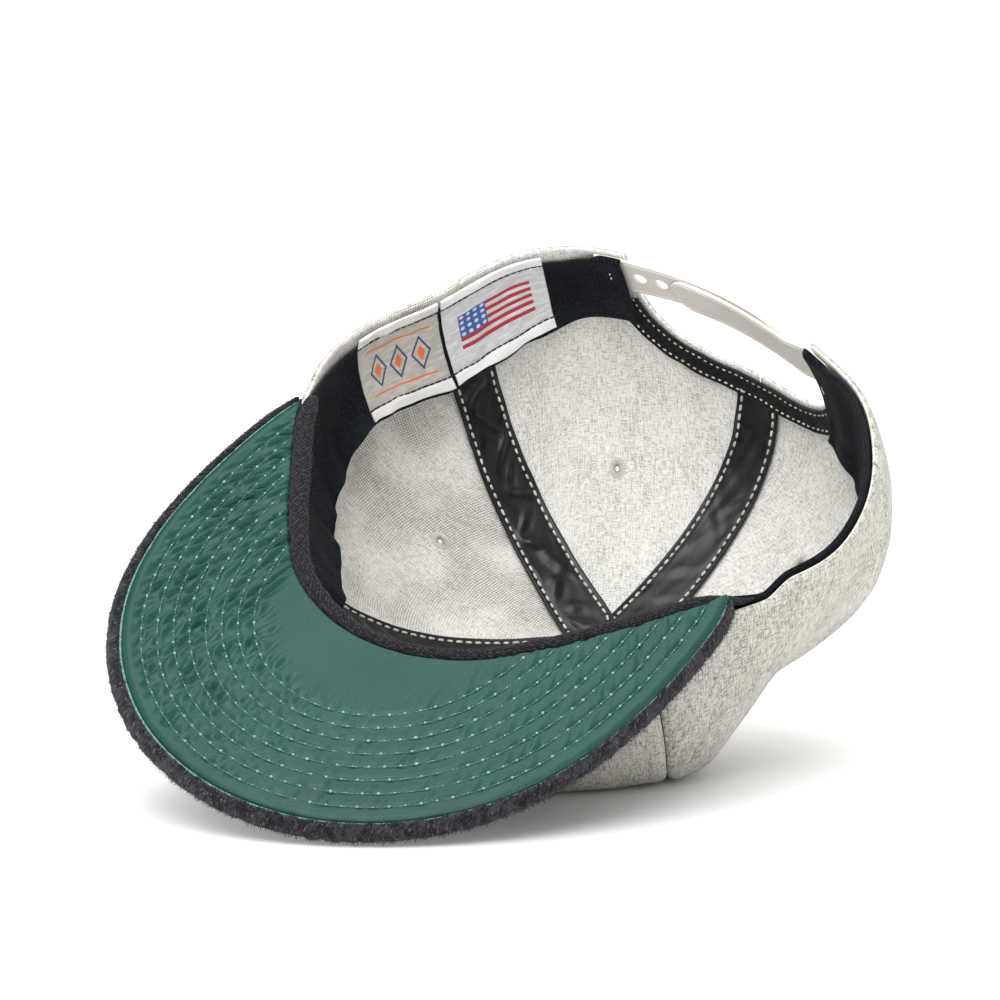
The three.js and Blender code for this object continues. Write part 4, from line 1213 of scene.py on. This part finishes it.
half = (BRIM_THICKNESS + PROUD) / 2
TOP_ROWS = 30
TURN_ROWS = 15
LIP_ROWS = 8
edge_turn = np.linspace(0.2, math.pi, TURN_ROWS)
section = [(s, half, BRIM_THICKNESS) for s in np.linspace(0, 1, TOP_ROWS)]
section += [(1, half - half * math.sin(a), half - PROUD + half * math.cos(a)) for a in edge_turn]
section += [(1, half + s * (lip - half), -PROUD * (1 - s**3)) for s in np.linspace(0.1, 0.9, LIP_ROWS)]
section += [(1, lip, 0.0), (1, lip, UNDER_THICKNESS + GAP)]
section += [(s, lip, UNDER_THICKNESS + GAP) for s in np.linspace(0.95, 0, 10)]
points = np.stack([brim_line(*step) for step in section])
edge_rows = TURN_ROWS + LIP_ROWS
edge_zone = slice(TOP_ROWS, TOP_ROWS + edge_rows)
swell = 0.28 * ripple(around_brim[None], np.arange(edge_rows)[:, None] * 0.8, 107, 9, 1 / 5)
points[edge_zone, :, :2] += swell[..., None] * spokes[None] * 0.7
points[edge_zone, :, 2] += 0.4 * swell
rows = len(section)
walked = np.concatenate([[0], np.cumsum(np.linalg.norm(np.diff(points[:, COLUMNS // 2], axis=0), axis=1))])
uv = np.stack(np.broadcast_arrays(around_brim[None], walked[:, None]), -1).reshape(-1, 2) / 1000
grid = np.arange(rows * COLUMNS).reshape(rows, COLUMNS)
flat = laid(points.reshape(-1, 3))
faces = outward(flat, quads(np.concatenate([grid, grid[:1]], 0)))
cover = add_mesh("brim_cover_wool", flat, faces, [brim_wool], uv)
nap_mask = np.zeros((rows, COLUMNS))
nap_mask[TOP_ROWS - 2:TOP_ROWS + edge_rows + 1] = 1
cover.data.attributes.new("nap", "FLOAT", "POINT").data.foreach_set("value", nap_mask.ravel())


def fibre():
    """A fibre one long, thin and a little bent, of three sides."""
    turn = np.linspace(0, 2 * math.pi, 3, endpoint=False)
    levels = ((0, 0.05, 0), (0.45, 0.045, 0.05), (0.8, 0.03, 0.18))
    points = [(r * math.cos(a) + x, r * math.sin(a), z) for z, r, x in levels for a in turn] + [(0.3, 0, 1)]
    faces = []
    for k in (0, 3):
        faces += [(k + j, k + (j + 1) % 3, k + 3 + (j + 1) % 3, k + 3 + j) for j in range(3)]
    faces += [(6 + j, 6 + (j + 1) % 3, 9) for j in range(3)] + [(2, 1, 0)]
    mesh = bpy.data.meshes.new("fibre")
    mesh.from_pydata(points, [], faces)
    mesh.shade_smooth()
    return bpy.data.objects.new("fibre", mesh)


fibre_form = fibre()
bpy.context.scene.collection.objects.link(fibre_form)
napping, given, napping_names = tree_of("napping", [
    ("Cloth", "Geometry"), ("Fibre", "Object"), ("Density", "Float"), ("Length", "Float"),
    ("Lean", "Float"), ("Seed", "Int"), ("Wool", "Material"),
])
mask = tree_node(napping, "GeometryNodeInputNamedAttribute", {"Name": "nap"}, data_type="FLOAT")
thick = tree_node(napping, "ShaderNodeMath", {0: mask[0], 1: given["Density"]}, operation="MULTIPLY")
roots = tree_node(napping, "GeometryNodeDistributePointsOnFaces", {
    "Mesh": given["Cloth"], "Density": thick[0], "Seed": given["Seed"],
})
back_lean = tree_node(napping, "ShaderNodeMath", {0: given["Lean"], 1: -1.0}, operation="MULTIPLY")
low = tree_node(napping, "ShaderNodeCombineXYZ", {0: back_lean[0], 1: back_lean[0], 2: -3.14159})
high = tree_node(napping, "ShaderNodeCombineXYZ", {0: given["Lean"], 1: given["Lean"], 2: 3.14159})
swing = tree_node(napping, "FunctionNodeRandomValue", {0: low[0], 1: high[0], "Seed": given["Seed"]},
                  data_type="FLOAT_VECTOR")
turned = tree_node(napping, "FunctionNodeEulerToRotation", {0: swing[0]})
stand = tree_node(napping, "FunctionNodeRotateRotation", {
    0: roots["Rotation"], 1: turned[0],
}, rotation_space="LOCAL")
short = tree_node(napping, "ShaderNodeMath", {0: given["Length"], 1: 0.4}, operation="MULTIPLY")
long = tree_node(napping, "FunctionNodeRandomValue", {2: short[0], 3: given["Length"], "Seed": given["Seed"]})
hair = tree_node(napping, "GeometryNodeObjectInfo", {"Object": given["Fibre"]})
fibres = tree_node(napping, "GeometryNodeInstanceOnPoints", {
    "Points": roots["Points"], "Instance": hair["Geometry"], "Rotation": stand[0], "Scale": long[1],
})
close_tree(napping, fibres[0], given["Wool"])


def nap(name, cloth, density, length, seed, wool):
    """Short fibres over a piece where its nap attribute is 1, as a plain mesh object."""
    carrier = bpy.data.objects.new(name + "_carrier", cloth.data.copy())
    bpy.context.scene.collection.objects.link(carrier)
    return grown(name, carrier, napping, napping_names, Fibre=fibre_form, Density=density,
                 Length=length / 1000, Lean=1.1, Seed=seed, Wool=wool)


def fibre_look(cloth):
    place = cloth.node("ShaderNodeTexCoord", {}, out="Object")
    shade = place.noise(900, 900)
    colour = shade.between(0.35, 0.7).blend(rgb(24, 24, 28), rgb(78, 78, 85))
    return colour, shade * 0.1 + 0.85, shade * 0.00001


fibre_wool = finish("charcoal_fibre", fibre_look)
dress(cover, "charcoal_wool", "brim_cover")
dress(nap("brim_edge_nap", cover, NAP_DENSITY, NAP_LENGTH, 301, fibre_wool), "charcoal_wool")


# Brim underside: green satin over the board, held by eight rows of stitches that follow its edge
# and draw it into small puckers. Each stitch ends in a small knot of paler thread.
ROW_STEP = 4.7
ROW_START = 6.0
ROW_COUNT = 8


def green_satin(cloth):
    grain = cloth.noise(2600, 1700)
    broad_patches = cloth.noise(45, 45)
    sheen = cloth.noise(300, 300)
    colour = (grain * 0.8 + broad_patches * 0.25).between(0.32, 0.72).blend(rgb(14, 62, 55), rgb(25, 79, 69))
    return colour, sheen * 0.2 + 0.28, grain * 0.00005 + sheen * 0.00002


brim_satin = finish("green_satin", green_satin, Sheen_Weight=0.03, Specular_IOR_Level=0.3)
green_edge = brim_line(1.0, lip + GAP, 0)[:, :2]
plan = np.stack([brim_line(s, lip + GAP, 0)[:, :2] for s in np.linspace(0, 1, 118) ** 0.92])


def edge_distance(places):
    """Distance of places under the brim from the green cloth's edge."""
    flat = places.reshape(-1, 2)
    nearest = [np.min(np.linalg.norm(flat[k:k + 8000, None] - green_edge[None], axis=2), axis=1)
               for k in range(0, len(flat), 8000)]
    return np.concatenate(nearest).reshape(places.shape[:-1])


distance = edge_distance(plan)
at_row = (distance - ROW_START) / ROW_STEP
off_row = (at_row - np.clip(np.round(at_row), 0, ROW_COUNT - 1)) * ROW_STEP
groove = np.exp(-((off_row / 0.75) ** 2))
run = around_brim[None] + np.zeros_like(distance)
left = 1 - smoothstep(run, 120, 210)
last_row = ROW_START + (ROW_COUNT - 1) * ROW_STEP
quilted = smoothstep(distance, 3, 6)
quilted = quilted * (1 - smoothstep(distance, last_row + 0.3 * ROW_STEP, last_row + 2 * ROW_STEP))
pucker = ripple(run, distance * 0.3, 101, 9, 1 / 3.6) * (0.12 + 0.75 * left)
wrinkle = ripple(run, distance * 0.15, 103, 7, 1 / 13)
edge_puff = 0.9 * bump_at(distance, 2.4, 1.8)
lift = 0.4 + quilted * (1.15 * pucker * (1 - groove) + 0.1 * wrinkle)
lift = lift - 0.45 * groove + edge_puff + 0.08 * wrinkle
lift = lift * rounded(distance, 0.8)
bottom = np.concatenate([plan, -lift[..., None]], -1)
top = np.concatenate([plan, np.full((*plan.shape[:-1], 1), UNDER_THICKNESS)], -1)
dress(two_sided("brim_underside_satin", bottom, top, plan, [brim_satin]), "green_satin", "brim_underside")
green_thread = finish("green_thread", thread_look(rgb(92, 148, 132), rgb(56, 106, 94)))
# The paler knot thread also colours the rod along the green's edge, a painted highlight.
knot_thread_and_edge_highlight = finish("knot_thread_and_edge_highlight", thread_look(rgb(142, 190, 174), rgb(98, 150, 136)))
edge_line = np.stack([-np.gradient(green_edge[:, 1]), np.gradient(green_edge[:, 0])], -1)
edge_line = unit(edge_line)
edge_line = edge_line * np.sign(-np.sum(edge_line * spokes))
paths = []
for k in range(ROW_COUNT):
    line = green_edge + edge_line * (ROW_START + k * ROW_STEP)
    keep = edge_distance(line[None])[0] > ROW_START + k * ROW_STEP - 0.4
    angle = np.degrees(np.arctan2(line[:, 0], line[:, 1]))
    rim = inside_rim(angle, np.zeros(COLUMNS), 0)[:, :2]
    keep &= np.linalg.norm(line, axis=1) > np.linalg.norm(rim, axis=1) + 1.2
    run = np.flatnonzero(keep)
    line = line[run[0]:run[-1] + 1]
    paths.append(np.concatenate([line, np.full((len(line), 1), -0.1)], 1))
STITCH_STEP = 4.35
dress(sew("brim_stitches", paths, STITCH_STEP, 4.2, 0.3, green_thread, 200, 0.03), "green_satin")
lower = [path - [0, 0, 0.1] for path in paths]
dress(sew("brim_knots", lower, STITCH_STEP, 0.8, 0.66, knot_thread_and_edge_highlight, 201, 0.4), "green_satin")
# A thin pale rod along the green cloth's folded edge: a painted highlight on the fold.
fold = np.concatenate([green_edge, np.full((COLUMNS, 1), -0.15)], 1)
dress(tube("green_edge_fold", fold[2:-2], 0.4, [knot_thread_and_edge_highlight]), "green_satin")


# Joint roll: a strip of charcoal twill folded over the seam where brim, band and crown meet, and
# sewn down. It is widest on the wearer's left, and thins out into the band's foot on the right.
def charcoal_twill(cloth):
    ribs = cloth.wave(900, 0.9)
    fluff = cloth.noise(900, 900, 2.0)
    colour = (fluff * 0.9 + ribs * 0.08).between(0.35, 0.75).blend(rgb(24, 24, 27), rgb(62, 62, 67))
    return colour, fluff * 0.1 + 0.85, ribs * 0.00006 + fluff * 0.00025


roll_cloth = finish("charcoal_twill", charcoal_twill, Sheen_Weight=0.1, Specular_IOR_Level=0.05)
bearing = np.linspace(-BRIM_CORNER - 2, BRIM_CORNER + 5, 300)[:, None]
turn = np.linspace(0, 2 * math.pi, 29)[None, :-1]
taper = rounded((bearing + BRIM_CORNER + 2.2) * 1.6, 12) * rounded((BRIM_CORNER + 5.2 - bearing) * 1.6, 26)
wobble = 0.2 * ripple(bearing * 1.6, turn * 3, 81, 6, 1 / 8)
width = 3.2 - 1.1 * smoothstep(bearing, -45, 10)
across = 0.9 + width * (1 - smoothstep(bearing, 62, 75)) + width * np.cos(turn) * taper + wobble
tall = 0.6 + 3.0 * smoothstep(bearing, 66, 75) + 1.4 * np.sin(turn) * taper
points = inside_rim(np.broadcast_to(bearing, across.shape), across, tall)
grid = np.arange(points.shape[0] * points.shape[1]).reshape(points.shape[:2])
flat = laid(points.reshape(-1, 3))
faces = outward(flat, quads(np.concatenate([grid, grid[:, :1]], 1)))
uv = np.stack(np.broadcast_arrays(bearing * 1.6, turn * 2.8), -1).reshape(-1, 2) / 1000
roll = add_mesh("joint_roll_twill", flat, faces, [roll_cloth], uv)
form = bmesh.new()
form.from_mesh(roll.data)
bmesh.ops.holes_fill(form, edges=form.edges)
form.to_mesh(roll.data)
form.free()
dress(roll, "navy_twill", "joint_roll")
bpy.data.objects.remove(stitch_form)
bpy.data.objects.remove(fibre_form)


# Stage: a seamless white sweep that glows a little away from the cap, and soft studio light from
# above and the left.
stage_look = bpy.data.materials.new("white_sweep")
stage_look.use_nodes = True
shader = stage_look.node_tree.nodes["Principled BSDF"]
shader.inputs["Base Color"].default_value = (0.86, 0.86, 0.86, 1)
shader.inputs["Roughness"].default_value = 0.9
shader.inputs["Specular IOR Level"].default_value = 0.0
shader.inputs["Emission Strength"].default_value = 1.0
place = Value(stage_look.node_tree, stage_look.node_tree.nodes.new("ShaderNodeTexCoord").outputs["Object"])
far = place.node("ShaderNodeVectorMath", {0: place}, out=1, operation="LENGTH")
glow = far.between(0.03, 0.26).blend((0.0, 0.0, 0.0, 1), (0.7, 0.69, 0.67, 1))
stage_look.node_tree.links.new(glow.socket, shader.inputs["Emission Color"])
profile = [(-14.0, 0.0), (4.0, 0.0)]
profile += [(4.0 + 2 * math.sin(a), 2 - 2 * math.cos(a)) for a in np.linspace(0.1, math.pi / 2, 16)]
profile += [(6.0, 8.0)]
level = np.array([ahead[0], ahead[1]]) / math.hypot(ahead[0], ahead[1])
wide = np.array([level[1], -level[0]])
points = np.array([(*(level * d + wide * w), h) for d, h in profile for w in (-14, 14)])
faces = np.array([(2 * k, 2 * k + 1, 2 * k + 3, 2 * k + 2) for k in range(len(profile) - 1)])
add_mesh("stage_sweep", points, faces, [stage_look])
world = bpy.data.worlds.new("studio")
world.use_nodes = True
world.node_tree.nodes["Background"].inputs["Color"].default_value = (1, 1, 1, 1)
world.node_tree.nodes["Background"].inputs["Strength"].default_value = 0.72
bpy.context.scene.world = world


def soft_light(name, place, size, power):
    """A square light at a place in metres, turned to the cap."""
    data = bpy.data.lights.new(name, "AREA")
    data.size = size
    data.energy = power
    made = bpy.data.objects.new(name, data)
    made.location = place
    made.rotation_euler = (Vector((0, 0, 0.06)) - Vector(place)).to_track_quat("-Z", "Y").to_euler()
    bpy.context.scene.collection.objects.link(made)


soft_light("front", (0.35, -0.75, 1.15), 1.0, 14)
soft_light("top", (-0.2, 0.1, 1.5), 1.1, 6)
